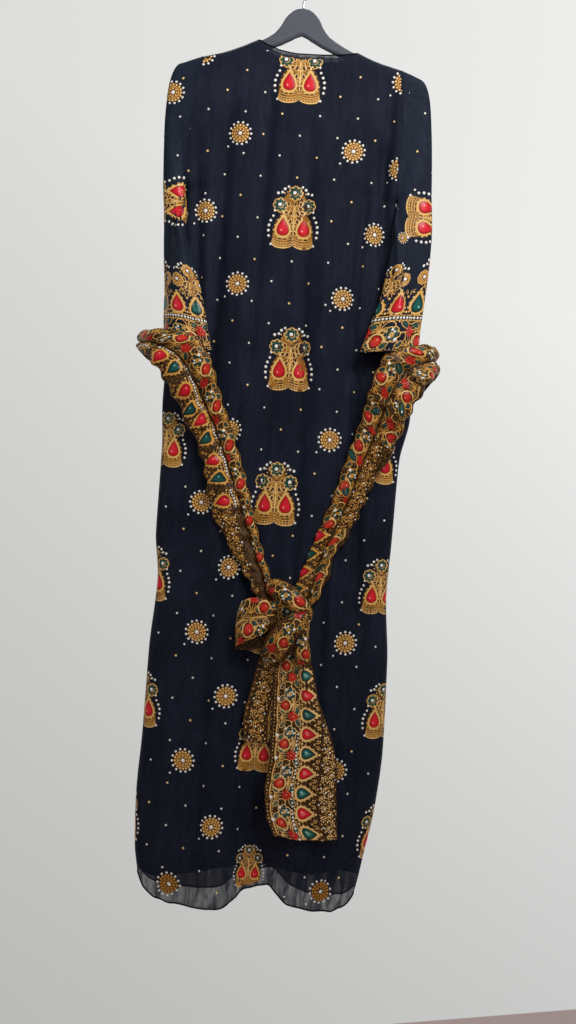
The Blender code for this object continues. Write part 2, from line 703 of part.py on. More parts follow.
def sash_arm(name, table, material):
    """One arm of the sash, from behind the sleeve round to the knot, folded lengthwise."""
    rows = table[1]
    keys = np.arange(len(rows))
    at = np.linspace(0, len(rows) - 1, ARM_STATIONS)
    upper = np.stack([smooth(keys, column(table, "upper_" + axis), at) for axis in ("x", "y", "drop")], -1)
    lower = np.stack([smooth(keys, column(table, "lower_" + axis), at) for axis in ("x", "y", "drop")], -1)
    across = np.linspace(0, 1, len(BAND_RIDGES))
    middle = upper[:, None] + (lower - upper)[:, None] * across[None, :, None]
    on_body = -(body_depth_at(FRONT, middle[..., 0], middle[..., 2]) + SASH_OFF_CLOTH + SASH_WALL)
    over_body = (at > 5.5)[:, None]
    middle[..., 1] = np.where(over_body, np.minimum(middle[..., 1], on_body), middle[..., 1])
    normal = normals(middle)
    if normal[ARM_STATIONS // 2, 3, 1] > 0:
        normal = -normal
    normal[0] = np.array([0.0, 1.0, 0.0])
    ridge = np.array(BAND_RIDGES)[None, :, None] * ease(at / 2.0 + 0.1)[:, None, None]
    outer = middle + normal * ridge
    inner = middle + normal * (ridge - SASH_WALL)
    return wall(name, outer, inner, material)


def sash_knot(material):
    """The loose knot, a rounded heap of pleats wound across the sash."""
    turns = 22
    levels = 13
    centre = np.array(KNOT_CENTRE)
    half = np.array(KNOT_HALF)
    tilt = math.radians(KNOT_TILT)
    rings = []
    for level in range(levels):
        height = -math.cos(math.pi * (level + 0.35) / (levels - 0.3))
        width = (1 - abs(height) ** 2.6) ** (1 / 2.6)
        ring = []
        for turn in range(turns):
            angle = 2 * math.pi * turn / turns
            pleat = 1 + KNOT_PLEAT_DEPTH * math.cos(KNOT_PLEATS * math.pi * height + 1.7 * math.cos(angle))
            c = math.copysign(abs(math.cos(angle)) ** 0.8, math.cos(angle))
            s = math.copysign(abs(math.sin(angle)) ** 0.8, math.sin(angle))
            x = half[0] * width * pleat * c
            y = (half[1] if s < 0 else KNOT_REAR_HALF) * width * pleat * s
            down = half[2] * height
            turned_x = x * math.cos(tilt) - down * math.sin(tilt)
            turned_down = x * math.sin(tilt) + down * math.cos(tilt)
            ring.append((centre[0] + turned_x, centre[1] + y, centre[2] + turned_down))
        rings.append(ring)
    rings = np.array(rings)
    top = rings[0].mean(axis=0)
    foot = rings[-1].mean(axis=0)
    vertices = np.concatenate([rings.reshape(-1, 3), [top], [foot]])
    faces = []
    for level in range(levels - 1):
        for turn in range(turns):
            a = level * turns + turn
            b = level * turns + (turn + 1) % turns
            faces.append((a, b, b + turns, a + turns))
    last = (levels - 1) * turns
    for turn in range(turns):
        after = (turn + 1) % turns
        faces.append((len(vertices) - 2, after, turn))
        faces.append((len(vertices) - 1, last + turn, last + after))
    mesh = bpy.data.meshes.new("sash_knot")
    mesh.from_pydata([tuple(v) for v in to_world(vertices)], [], faces)
    if signed_volume(mesh) < 0:
        mesh.flip_normals()
    mesh.shade_smooth()
    return add_object("sash_knot", mesh, material)


def sash_loop(material):
    """The short loop of sash that stands out on the left of the knot."""
    path = np.stack([column(LOOP_PATH, "x"), column(LOOP_PATH, "y")], axis=-1)
    keys = np.arange(len(path))
    at = np.linspace(0, len(path) - 1, 15)
    x = smooth(keys, path[:, 0], at)
    y = smooth(keys, path[:, 1], at)
    drops = np.linspace(LOOP_TOP, LOOP_FOOT, 5)
    bulge = np.sin(np.linspace(0.35, math.pi - 0.35, 5))
    points = np.zeros((5, 15, 3))
    for row in range(5):
        shrink = 0.80 + 0.20 * bulge[row]
        points[row, :, 0] = x[0] + (x - x[0]) * shrink
        points[row, :, 1] = LOOP_MIDDLE_Y + (y - LOOP_MIDDLE_Y) * shrink
        points[row, :, 2] = drops[row]
    normal = normals(points)
    centre = points.mean(axis=(0, 1))
    if np.sum(normal * (points - centre)) < 0:
        normal = -normal
    return wall("sash_loop", points, points - normal * TAIL_WALL, material)


def sash_tail(name, table, material, phase):
    """A hanging end of the sash, pleated at the knot and spread at its foot."""
    drops = column(table, "drop")
    down = np.linspace(drops[0], drops[-1], 2 * len(drops) - 1)
    across = np.linspace(0, 1, TAIL_ACROSS)
    left = read(table, "drop", "left", down)
    right = read(table, "drop", "right", down)
    lift = read(table, "drop", "lift", down)
    pleat = read(table, "drop", "pleat", down)
    x = left[:, None] + (right - left)[:, None] * across[None, :]
    drop = np.repeat(down[:, None], TAIL_ACROSS, axis=1)
    depth = read(BODY_DEPTH, "drop", "front", drop)
    wave = np.cos(2 * math.pi * TAIL_WAVES * across + phase)[None, :]
    y = -(depth + lift[:, None] + pleat[:, None] * wave)
    outer = np.stack([x, y, drop], axis=-1)
    normal = normals(outer)
    if normal[3, 3, 1] > 0:
        normal = -normal
    return wall(name, outer, outer - normal * TAIL_WALL, material)


for old in list(bpy.data.objects):
    bpy.data.objects.remove(old, do_unlink=True)

PARTS = bpy.data.collections.new("kaftan_on_hanger")
bpy.context.scene.collection.children.link(PARTS)

georgette = fabric("navy_georgette", (0.012, 0.015, 0.026), 0.75)
lining_cloth = fabric("dark_lining", (0.008, 0.010, 0.018), 0.65)
print_cloth = fabric("printed_sash", (0.16, 0.09, 0.03), 0.6)
wood = fabric("painted_wood", (0.13, 0.14, 0.17), 0.45)
steel = fabric("hook_steel", (0.55, 0.55, 0.56), 0.3)
steel.node_tree.nodes["Principled BSDF"].inputs["Metallic"].default_value = 1.0

hanger_body(wood)
hanger_hook(steel)
panel("body_front", FRONT, range(len(ROW_SHARES)), WALL, georgette)
panel("body_back", BACK, range(len(ROW_SHARES)), WALL, georgette)
panel("lining_front", Body(-1, lining=True), LINING_ROWS, LINING_WALL, lining_cloth)
panel("lining_back", Body(1, lining=True), LINING_ROWS, LINING_WALL, lining_cloth)
sleeve("sleeve_left", -1.0, SLEEVE_LEFT, georgette)
sleeve("sleeve_right", 1.0, SLEEVE_RIGHT, georgette)
neck_binding(georgette)
sash_back(print_cloth)
sash_arm("sash_arm_left", SASH_ARM_LEFT, print_cloth)
sash_arm("sash_arm_right", SASH_ARM_RIGHT, print_cloth)
sash_knot(print_cloth)
sash_loop(print_cloth)
sash_tail("sash_tail_front", TAIL_FRONT, print_cloth, 0.4)
sash_tail("sash_tail_back", TAIL_BACK, print_cloth, 2.0)
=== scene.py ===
# %% [markdown]
# A long kaftan hangs on a flat wooden hanger. It is sewn from sheer navy georgette with a jewel print,
# over a shorter opaque lining, and a sash of the same print is slung round it and tied low at the
# front. This lesson dresses the plain solids: every cloth becomes a thin shell with its own folds, and
# the print is laid on it as very low shapes. The frame comes first, because every piece stands where
# its solid stands.

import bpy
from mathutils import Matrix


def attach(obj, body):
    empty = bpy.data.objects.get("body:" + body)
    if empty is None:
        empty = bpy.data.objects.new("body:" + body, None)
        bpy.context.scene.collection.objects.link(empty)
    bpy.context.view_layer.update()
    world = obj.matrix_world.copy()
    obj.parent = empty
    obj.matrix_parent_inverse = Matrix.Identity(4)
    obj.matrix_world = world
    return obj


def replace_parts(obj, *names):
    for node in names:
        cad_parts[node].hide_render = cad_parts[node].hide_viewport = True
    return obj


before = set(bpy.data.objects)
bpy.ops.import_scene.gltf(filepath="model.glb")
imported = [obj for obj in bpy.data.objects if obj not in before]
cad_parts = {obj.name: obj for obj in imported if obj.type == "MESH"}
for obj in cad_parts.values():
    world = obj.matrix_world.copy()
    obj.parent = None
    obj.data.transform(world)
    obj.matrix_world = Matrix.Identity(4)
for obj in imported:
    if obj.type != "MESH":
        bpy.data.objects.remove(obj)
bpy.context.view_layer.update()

# %% Tools for sums on many points
import math

import bpy
import numpy as np
from mathutils import Vector

MM = 0.001
ROOT = "root"
scene = bpy.context.scene
print("Blender", bpy.app.version_string)

# %% [markdown]
# A tailor keeps the sizes of a garment in a table. The tables here are the kaftan's pattern, from which
# the solids were made too: millimetres across from the hanger's middle, and millimetres down from its
# top. A table gives a few sure sizes, and a smooth curve that never overshoots them gives the rest.

# %% Reading a table
def column(table, name):
    names, rows = table
    return np.array([row[names.index(name)] for row in rows], dtype=float)


def smooth(keys, values, at):
    """A smooth curve through sure values that never overshoots them."""
    keys, values = np.asarray(keys, dtype=float), np.asarray(values, dtype=float)
    steps = np.diff(keys)
    slopes = np.diff(values) / steps
    tangents = np.zeros(len(keys))
    tangents[0], tangents[-1] = slopes[0], slopes[-1]
    for i in range(1, len(keys) - 1):
        if slopes[i - 1] * slopes[i] > 0:
            tangents[i] = 2 * slopes[i - 1] * slopes[i] / (slopes[i - 1] + slopes[i])
    at = np.clip(np.asarray(at, dtype=float), keys[0], keys[-1])
    i = np.clip(np.searchsorted(keys, at, side="right") - 1, 0, len(steps) - 1)
    t = (at - keys[i]) / steps[i]
    return (
        values[i] * (1 + 2 * t) * (1 - t) ** 2
        + tangents[i] * steps[i] * t * (1 - t) ** 2
        + values[i + 1] * t * t * (3 - 2 * t)
        + tangents[i + 1] * steps[i] * t * t * (t - 1)
    )


def read(table, key, name, at):
    return smooth(column(table, key), column(table, name), at)


def ease(t):
    t = np.clip(t, 0, 1)
    return t * t * (3 - 2 * t)


def quarter_round(t):
    """Rises from 0 to 1 like a quarter circle."""
    t = np.clip(t, 0, 1)
    return np.sqrt(1 - (1 - t) ** 2)


print("a quarter along, a soft rise is at", ease(0.25))

# %% Top of the cloth on the hanger
HOOK_TO_WOOD = 62.0
WOOD_TO_CLOTH_TOP = 4.0
# Half of the wooden hanger, from its middle to its tip.
HANGER_ARM = ("out", "top"), (
    (0, 0), (10, 1.5), (17, 5.4), (24, 12), (29.3, 18.7), (32.6, 25.4), (36, 32), (41, 39), (47, 45.8),
    (57, 52.7), (72, 61.3), (84, 67.2), (101, 75.3), (131, 87.3), (174, 99.3), (191, 106), (198, 111),
    (202, 115.5),
)


def ridge_drop(x):
    return read(HANGER_ARM, "out", "top", np.abs(x)) - WOOD_TO_CLOTH_TOP


print("cloth's top 100 mm out:", round(float(ridge_drop(100.0)), 1), "mm down")

# %% [markdown]
# The body is cut nearly straight: a neckline with a shoulder seam on each side, two long sides, and a
# hem that rises in the middle between two lobes. Each edge is a table, because the garment hangs
# unevenly and no formula would give its edges.

# %% Neckline and shoulders
NECK_LINE = ("x", "drop"), ((-62, 67.5), (-48, 73), (-35, 78), (0, 82.5), (37, 82), (69, 79.5), (90, 76.5))
NECK_LEFT = -75.0
NECK_RIGHT = 101.0
# Neckline points nearer to a corner than this are left out.
NECK_CORNER = 8.0


def top_drop(x, wider=0.0, lower=0.0):
    """Drop of a panel's upper edge: shoulder, neckline, shoulder."""
    left, right = NECK_LEFT - wider, NECK_RIGHT + wider
    inner = [row for row in NECK_LINE[1] if left + NECK_CORNER < row[0] < right - NECK_CORNER]
    keys = [left] + [row[0] for row in inner] + [right]
    drops = [float(ridge_drop(left))] + [row[1] + lower for row in inner] + [float(ridge_drop(right))]
    neck = smooth(keys, drops, x)
    return np.where((x > left) & (x < right), np.maximum(neck, ridge_drop(x)), ridge_drop(x))


print("neck", NECK_RIGHT - NECK_LEFT, "mm wide")

# %% Sides and hems
BODY_EDGE = ("drop", "left", "right"), (
    (90, -165, 172), (115, -169, 176), (158, -175, 179), (190, -178, 180), (250, -180, 179),
    (320, -178.5, 178), (350, -179, 179), (400, -184, 184), (500, -190, 198), (600, -193, 218),
    (680, -195, 225), (760, -191, 211), (900, -192, 207), (980, -184, 204), (1100, -191, 213),
    (1240, -193, 215), (1340, -197, 208), (1430, -194, 193), (1480, -186, 184), (1520, -178, 172),
)
# Each hem rises between two lobes.
FRONT_HEM = ("x", "drop"), (
    (-186, 1479), (-177, 1502), (-160, 1515), (-126, 1523), (-60, 1526), (-36, 1524), (-20, 1511),
    (-8, 1496), (12, 1491), (34, 1484), (54, 1498), (75, 1513), (110, 1518), (150, 1520),
    (168, 1514), (180, 1504), (186, 1482),
)
BACK_HEM = ("x", "drop"), (
    (-186, 1478), (-165, 1500), (-110, 1510), (-50, 1508), (-12, 1478), (36, 1466), (75, 1494),
    (130, 1508), (170, 1502), (186, 1480),
)
LINING_HEM = ("x", "drop"), (
    (-186, 1468), (-154, 1480), (-98, 1470), (-35, 1456), (40, 1452), (102, 1460), (150, 1451), (186, 1458),
)
for name, table in (("front", FRONT_HEM), ("back", BACK_HEM), ("lining", LINING_HEM)):
    print(name, "hem rises", np.ptp(column(table, "drop")), "mm")

# %% [markdown]
# The body is two shallow shells, front and back. Their depth is worked out from how far across and how
# far down a place lies, and long soft folds are added to it. A simulation would find folds of its own;
# here each is placed one by one, so that it falls where the real garment has one.

# %% Depth and folds
# Half depth of the empty body.
BODY_DEPTH = ("drop", "front", "back"), (
    (60, 10, 10), (115, 10, 10), (200, 14, 13), (320, 16, 14), (600, 18, 16), (800, 23, 18),
    (1030, 28, 22), (1250, 34, 27), (1400, 38, 30), (1530, 38, 31),
)
# Each fold runs along a line, out for a ridge. Narrow folds are only in the fine cloth.
FOLD_COLUMNS = ("x_top", "drop_top", "x_foot", "drop_foot", "half_width", "out")
FRONT_FOLDS = FOLD_COLUMNS, (
    (-136, 150, -108, 560, 13, -3), (143, 200, 150, 545, 13, -3), (-60, 240, -78, 1540, 26, 8),
    (-122, 700, -130, 1540, 20, -4), (52, 170, 92, 1540, 28, 6), (-4, 470, 16, 1330, 22, -4),
    (146, 740, 158, 1540, 17, -4), (112, 260, 121, 1540, 20, 3.5), (-154, 900, -160, 1540, 15, 5),
    (178, 820, 180, 1540, 13, 4), (-168, 200, -138, 600, 7, -7), (-154, 330, -140, 640, 6, -4),
    (-112, 90, -120, 760, 11, -9), (-42, 75, -54, 640, 10, -7), (24, 150, 36, 640, 9, -4.5),
    (62, 300, 70, 700, 10, 4), (148, 200, 172, 520, 9, -16), (118, 470, 156, 1060, 9, -8),
    (128, 250, 116, 640, 8, -11), (160, 110, 158, 300, 8, -10), (134, 330, 112, 760, 7, 4),
    (-64, 600, -84, 1040, 10, -7), (-10, 560, -30, 1000, 10, -7), (36, 500, 44, 1000, 10, -6),
    (-96, 900, -88, 1500, 10, -8), (-24, 980, -12, 1500, 11, -8), (92, 900, 108, 1480, 10, -8),
    (-152, 760, -166, 1480, 8, -4.5), (122, 800, 136, 1500, 9, -8), (166, 900, 172, 1480, 8, -4.5),
    (84, 1150, 92, 1520, 8, -4),
)
BACK_FOLDS = FOLD_COLUMNS, (
    (-120, 180, -135, 1540, 24, 5), (-50, 130, -62, 1540, 26, -3.5), (20, 220, 28, 1300, 28, 6),
    (88, 150, 96, 1540, 24, -3.5), (140, 300, 150, 1540, 22, 5), (-85, 800, -98, 1540, 18, 4),
)
# Broad folds that part the hem's lobes, shared by the cloth and its lining.
FRONT_HEM_FOLD = FOLD_COLUMNS, ((16, 1250, 18, 1750, 32, -24),)
BACK_HEM_FOLD = FOLD_COLUMNS, ((16, 1250, 22, 1750, 30, -10),)
# Shares of its length over which a fold grows and fades, and its rest at the foot.
FOLD_GROWS, FOLD_FADES, FOLD_REST = 0.25, 0.12, 0.25


def folds(table, x, drop):
    total = np.zeros_like(x)
    for x_top, drop_top, x_foot, drop_foot, half_width, out in table[1]:
        along = (drop - drop_top) / (drop_foot - drop_top)
        line = x_top + (x_foot - x_top) * along
        across = np.exp(-(((x - line) / half_width) ** 2))
        fade = ease(along / FOLD_GROWS) * ease((1 - along) / FOLD_FADES + FOLD_REST)
        total = total + out * across * fade
    return total


print(len(FRONT_FOLDS[1]), "folds on the front and", len(BACK_FOLDS[1]), "on the back")

# %% Places on the body
SEAM_GAP = 0.3
# Cloth over the hanger's arm turns on this radius.
SHOULDER_ROUND = 10.0
# Share of the way from shoulder to hem at which the armhole ends, and over which it closes.
UNDERARM, UNDERARM_ROUND = 0.1627, 0.018
ARMHOLE_HALF_DEPTH = 13.0
SECTION_POWER = 3.0
# The lining lies inside the sheer cloth, closest at the shoulder.
LINING_SIDE_INSET = 1.6
LINING_INSET_TOP, LINING_INSET_LOW = 2.2, 6.5
LINING_DEEPENS_FROM, LINING_DEEPENS_OVER = 115.0, 120.0
LINING_BELOW_NECK, LINING_NECK_WIDER = 8.0, 10.0
# Drops where the shoulder seam ends, the hem edge is read, and the share down is 1.
SHOULDER_END_DROP, HEM_EDGE_DROP, FOOT_DROP = 95.0, 1480.0, 1478.0
# Share of the way down from which rows bend to the hem's line.
HEM_BEND = 0.8
# Columns at these distances from each neck corner.
NECK_COLUMNS = (0.0, 1.2, 4.0, 10.0)


class Body:
    """Places on the front or back of the body, for a share across and a share down."""

    def __init__(self, side, lining=False):
        self.side, self.lining = side, lining
        front = side < 0
        self.depth_name = "front" if front else "back"
        self.fold_table = FRONT_FOLDS if front else BACK_FOLDS
        self.hem_fold = FRONT_HEM_FOLD if front else BACK_HEM_FOLD
        self.hem = LINING_HEM if lining else FRONT_HEM if front else BACK_HEM
        insets = (LINING_SIDE_INSET, LINING_INSET_TOP, LINING_NECK_WIDER, LINING_BELOW_NECK)
        self.side_inset, self.top_inset, self.neck_wider, self.neck_lower = insets if lining else [0.0] * 4

    def edges(self, drop):
        left = read(BODY_EDGE, "drop", "left", drop) + self.side_inset
        return left, read(BODY_EDGE, "drop", "right", drop) - self.side_inset

    def inset(self, drop):
        deeper = LINING_INSET_LOW - LINING_INSET_TOP if self.lining else 0.0
        return self.top_inset + deeper * ease((drop - LINING_DEEPENS_FROM) / LINING_DEEPENS_OVER)

    def depth(self, x, drop, share_down):
        """Distance of the outer face from the middle plane."""
        left, right = self.edges(drop)
        across = np.clip(np.abs(2 * (x - left) / (right - left) - 1), 0, 1)
        oval = (1 - across**SECTION_POWER) ** (1 / SECTION_POWER)
        full = read(BODY_DEPTH, "drop", self.depth_name, drop)
        open_edge = ARMHOLE_HALF_DEPTH * quarter_round((UNDERARM - share_down) / UNDERARM_ROUND)
        open_edge = np.maximum(np.minimum(open_edge, full) - self.inset(drop), 0)
        full = full - self.inset(drop)
        shape = open_edge + (full - open_edge) * oval
        # The lining follows only the folds that sink.
        folded = folds(self.fold_table, x, drop)
        shape = shape + oval * (np.minimum(folded, 0) if self.lining else folded)
        shape = shape + oval * folds(self.hem_fold, x, drop)
        turn = SHOULDER_ROUND - self.top_inset
        below = drop - ridge_drop(x) - (SHOULDER_ROUND - turn)
        return np.maximum(shape, 0) * quarter_round(below / turn)

    def columns(self, spacing, steps):
        left, right = self.edges(SHOULDER_END_DROP)
        corners = (NECK_LEFT - self.neck_wider, NECK_RIGHT + self.neck_wider)
        placed = [left + step for step in steps] + [right - step for step in steps]
        placed += [corners[0] + step for step in NECK_COLUMNS]
        placed += [corners[1] - step for step in NECK_COLUMNS]
        spans = sorted(placed)
        for low, high in zip(spans[:-1], spans[1:]):
            parts = max(1, round((high - low) / spacing))
            placed += [low + (high - low) * step / parts for step in range(1, parts)]
        return (np.array(sorted(placed)) - left) / (right - left)

    def grid(self, shares_across, shares_down):
        u, f = np.meshgrid(shares_across, shares_down)
        left, right = self.edges(np.full_like(u, SHOULDER_END_DROP))
        top = top_drop(left + (right - left) * u, self.neck_wider, self.neck_lower) + self.top_inset
        left, right = self.edges(np.full_like(u, HEM_EDGE_DROP))
        hem = read(self.hem, "x", "drop", left + (right - left) * u)
        bend = ease((f - HEM_BEND) / (1 - HEM_BEND)) * f
        drop = top + (FOOT_DROP - top) * f + (hem - FOOT_DROP) * bend
        left, right = self.edges(drop)
        x = left + (right - left) * u
        y = self.side * (SEAM_GAP / 2 + self.depth(x, drop, f))
        return np.stack([x, y, drop], axis=-1)


def body_depth_at(body, x, drop):
    x, drop = np.asarray(x, dtype=float), np.asarray(drop, dtype=float)
    top = top_drop(x)
    return body.depth(x, drop, (drop - top) / (FOOT_DROP - top))


FRONT, BACK = Body(-1), Body(1)
print("chest", round(float(body_depth_at(FRONT, 0.0, 300.0)), 1), "mm deep in front")

# %% [markdown]
# A cloth is modelled as a grid of points, with its rows one below another. The grid is the outer face,
# and a Solidify modifier walls it inward. Pulling folds with a brush would work too, but a grid keeps
# the seams of neighbours together and knows each place's own distance along the cloth, which the weave
# and the print follow.

# %% Grids of points
def unit(vectors):
    return vectors / np.maximum(np.linalg.norm(vectors, axis=-1, keepdims=True), 1e-9)


def to_world(points):
    """From x, y and drop in millimetres to metres about the hook."""
    world = np.array(points, dtype=float)
    world[..., 2] = -(world[..., 2] + HOOK_TO_WOOD)
    return world * MM


def refine(points, count, closed=False):
    """More points on a smooth line through the first axis of a grid."""
    last = len(points) if closed else len(points) - 1
    at = np.arange(count) * last / count if closed else np.linspace(0, last, count)
    step = np.floor(at).astype(int)
    if not closed:
        step = np.minimum(step, last - 1)
    t = (at - step).reshape(-1, *([1] * (points.ndim - 1)))

    def near(k):
        index = step + k
        return points[index % len(points)] if closed else points[np.clip(index, 0, last)]

    a, b, c, d = near(-1), near(0), near(1), near(2)
    return 0.5 * (2 * b + (c - a) * t + (2 * a - 5 * b + 4 * c - d) * t**2 + (3 * b - a - 3 * c + d) * t**3)


def grid_normals(points, outward):
    """Unit normals of a grid, on the side that outward points to."""
    normal = unit(np.cross(np.gradient(points, axis=1), np.gradient(points, axis=0)))
    return normal if np.sum(normal * outward) > 0 else -normal


def run_length(points, axis):
    """Distance along the rows or columns of a grid, in millimetres."""
    lengths = np.cumsum(np.linalg.norm(np.diff(points, axis=axis), axis=-1), axis=axis)
    start = np.zeros_like(np.take(lengths, [0], axis=axis))
    return np.concatenate([start, lengths], axis=axis)


print("top of the hanger at", to_world(np.zeros(3))[2], "m")

# %% Cloth from a grid
CLOTH_WALL = 0.6


def select_only(obj):
    for other in bpy.context.selected_objects:
        other.select_set(False)
    obj.select_set(True)
    bpy.context.view_layer.objects.active = obj


def add_piece(name, mesh):
    """A mesh as a piece that rides on the garment's one body."""
    mesh.shade_smooth()
    obj = bpy.data.objects.new(name, mesh)
    scene.collection.objects.link(obj)
    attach(obj, ROOT)
    return obj


def harden(obj, kind, **settings):
    select_only(obj)
    modifier = obj.modifiers.new(kind.lower(), kind)
    for key, value in settings.items():
        setattr(modifier, key, value)
    bpy.ops.object.modifier_apply(modifier=modifier.name)


def cloth(name, grid, material, outward, around=False, wall=CLOTH_WALL):
    """A thin shell inside a grid. Its UV map holds distances along the cloth."""
    rows, cols = grid.shape[:2]
    spans = cols if around else cols - 1
    r, c = (v.ravel() for v in np.meshgrid(np.arange(rows - 1), np.arange(spans), indexing="ij"))
    corner_rows = np.stack([r, r, r + 1, r + 1], axis=-1)
    corner_cols = np.stack([c, c + 1, c + 1, c], axis=-1)
    world = to_world(grid)
    flat = world.reshape(-1, 3)
    corners = corner_rows * cols + corner_cols % cols
    first, second, last = (flat[corners[:, k]] for k in (0, 1, 3))
    facing = np.cross(second - first, last - first)
    outside = to_world(grid + outward) - world
    if np.sum(facing * outside.reshape(-1, 3)[corners[:, 0]]) < 0:
        corner_rows, corner_cols = corner_rows[:, ::-1], corner_cols[:, ::-1]
        corners = corners[:, ::-1]
    mesh = bpy.data.meshes.new(name)
    mesh.from_pydata(flat.tolist(), [], corners.tolist())
    across = run_length(np.concatenate([grid, grid[:, :1]], axis=1) if around else grid, 1)
    across = across - across[:, across.shape[1] // 2][:, None]
    down = run_length(grid, 0)
    where = np.stack([across[corner_rows, corner_cols], down[corner_rows, corner_cols % cols]], -1)
    mesh.uv_layers.new(name="cloth").data.foreach_set("uv", (where * MM).ravel())
    mesh.materials.append(material)
    obj = add_piece(name, mesh)
    harden(obj, "SOLIDIFY", thickness=wall * MM, offset=-1.0)
    print("  ", name, len(corners), "faces, walled", len(obj.data.polygons))
    obj.data.shade_smooth()
    return obj


print("cloth walls", CLOTH_WALL, "mm")

# %% [markdown]
# Georgette is a crepe weave of hard-twisted threads: matt, slightly pebbled, and so open that light
# comes through, so its shader is partly transparent. A thread is too fine to show from two metres, so
# the pebble is drawn at about 1.2 mm. A picture of cloth could be wrapped round the piece instead, but
# nodes stay sharp at every distance.

# %% Colour and node helpers
def linear(hex_code):
    out = []
    for k in (0, 2, 4):
        v = int(hex_code[k : k + 2], 16) / 255
        out.append(v / 12.92 if v <= 0.04045 else ((v + 0.055) / 1.055) ** 2.4)
    return (*out, 1.0)


def add_node(owner, kind, inputs=None, links=None, stops=None, **settings):
    """Adds a node. Where a link names a node, its first output is meant."""
    node = owner.node_tree.nodes.new("ShaderNode" + kind)
    for key, value in settings.items():
        setattr(node, key, value)
    for k, (place, code) in enumerate(stops or []):
        band = node.color_ramp.elements
        element = band[k] if k < len(band) else band.new(place)
        element.position, element.color = place, linear(code)
    for key, value in (inputs or {}).items():
        node.inputs[key].default_value = value
    for key, source in (links or {}).items():
        join(owner, source, node.inputs[key])
    return node


def join(owner, source, socket):
    owner.node_tree.links.new(source.outputs[0] if hasattr(source, "outputs") else source, socket)


def new_material(name, roughness, specular=0.5, metallic=0.0, alpha=1.0, colour=None):
    material = bpy.data.materials.new(name)
    material.use_nodes = True
    shader = material.node_tree.nodes["Principled BSDF"]
    values = {"Roughness": roughness, "Specular IOR Level": specular, "Metallic": metallic, "Alpha": alpha}
    for socket, value in values.items():
        shader.inputs[socket].default_value = value
    if colour:
        shader.inputs["Base Color"].default_value = linear(colour)
    return material, shader


def pebble(material, shader, scale, strength):
    where = add_node(material, "UVMap", uv_map="cloth")
    grain = add_node(
        material, "TexNoise", {"Scale": scale, "Detail": 3.0, "Roughness": 0.6}, {"Vector": where}
    )
    bump = add_node(material, "Bump", {"Strength": strength, "Distance": 0.0004}, {"Height": grain})
    join(material, bump, shader.inputs["Normal"])
    return where


print("808080 in linear light:", round(linear("808080")[0], 3))

# %% Georgette, lining and rolled edges
# Pebbles to a metre: one each 1.2 mm on crepe, one each 0.7 mm on acetate.
CREPE_GRAIN, ACETATE_GRAIN = 850.0, 1400.0


def georgette(name, alpha, dark, light):
    """Sheer crepe, a matt navy that greys where the weave opens. Alpha is for one face of two."""
    material, shader = new_material(name, 0.72, specular=0.16, alpha=alpha)
    where = pebble(material, shader, CREPE_GRAIN, 0.08)
    cloud = add_node(material, "TexNoise", {"Scale": 9.0, "Detail": 2.0}, {"Vector": where})
    tint = add_node(material, "ValToRGB", None, {"Fac": cloud}, [(0.3, dark), (0.7, light)])
    join(material, tint, shader.inputs["Base Color"])
    creased = add_node(material, "Mapping", {"Scale": (60.0, 15.0, 1.0)}, {"Vector": where})
    streak = add_node(
        material, "TexNoise", {"Scale": 1.0, "Detail": 3.0, "Distortion": 1.4}, {"Vector": creased},
    )
    dense = add_node(
        material, "MapRange",
        {"From Min": 0.38, "From Max": 0.66, "To Min": alpha - 0.1, "To Max": min(1.0, alpha + 0.2)},
        {"Value": streak},
    )
    join(material, dense, shader.inputs["Alpha"])
    return material


SHEER = georgette("navy_georgette", 0.64, "181E2E", "222839")
SLEEVE_SHEER = georgette("navy_georgette_doubled", 0.80, "1A2231", "202939")
# Acetate gives a closed, nearly black ground with a dull sheen.
LINING, lining_shader = new_material("dark_acetate_lining", 0.55, specular=0.12, colour="0D0E19")
pebble(LINING, lining_shader, ACETATE_GRAIN, 0.2)
# Rolled georgette is several layers thick, so it reads as a dark line.
ROLLED, _ = new_material("rolled_georgette_edge", 0.8, specular=0.08, colour="10131D")
SEAMED, _ = new_material("seamed_georgette_edge", 0.75, specular=0.12, colour="20253A")
print("cloths:", *(material.name for material in bpy.data.materials))

# %% [markdown]
# The sash is the same georgette, printed all over with gold work on dark brown. Between the larger
# shapes lies a net of fine gold lines with small beads in it, drawn with cell patterns at 4.6 mm and
# 2.2 mm. Modelled lines would cost a million faces, and from two metres nobody could tell them apart.

# %% Printed ground of the sash
NET_CELL, BEAD_CELL = 0.0046, 0.0022


def printed_ground(name):
    """Crepe under a dense print, a brown-black ground with a glimmer of fine gold."""
    material, shader = new_material(name, 0.5, specular=0.22)
    where = pebble(material, shader, CREPE_GRAIN, 0.2)
    bend = add_node(material, "TexNoise", {"Scale": 120.0, "Detail": 1.0}, {"Vector": where})
    amount = add_node(
        material, "VectorMath", {"Scale": 0.005}, {"Vector": bend.outputs["Color"]}, operation="SCALE",
    )
    bent = add_node(material, "VectorMath", None, {0: where, 1: amount}, operation="ADD")
    net = add_node(
        material, "TexVoronoi", {"Scale": 1 / NET_CELL}, {"Vector": bent}, feature="DISTANCE_TO_EDGE",
    )
    lines = add_node(
        material, "ValToRGB", None, {"Fac": net},
        [(0.0, "96682A"), (0.05, "583512"), (0.11, "24140A"), (0.22, "0E0806")],
    )
    beads = add_node(material, "TexVoronoi", {"Scale": 1 / BEAD_CELL}, {"Vector": bent})
    spots = add_node(
        material, "MapRange",
        {"From Min": 0.26, "From Max": 0.12, "To Min": 0.0, "To Max": 0.45}, {"Value": beads},
    )
    # Sockets 6 and 7 are the two colours of a mix, and its third output is their blend.
    mixed = add_node(material, "Mix", {7: linear("9C7434")}, {0: spots, 6: lines}, data_type="RGBA")
    join(material, mixed.outputs[2], shader.inputs["Base Color"])
    return material


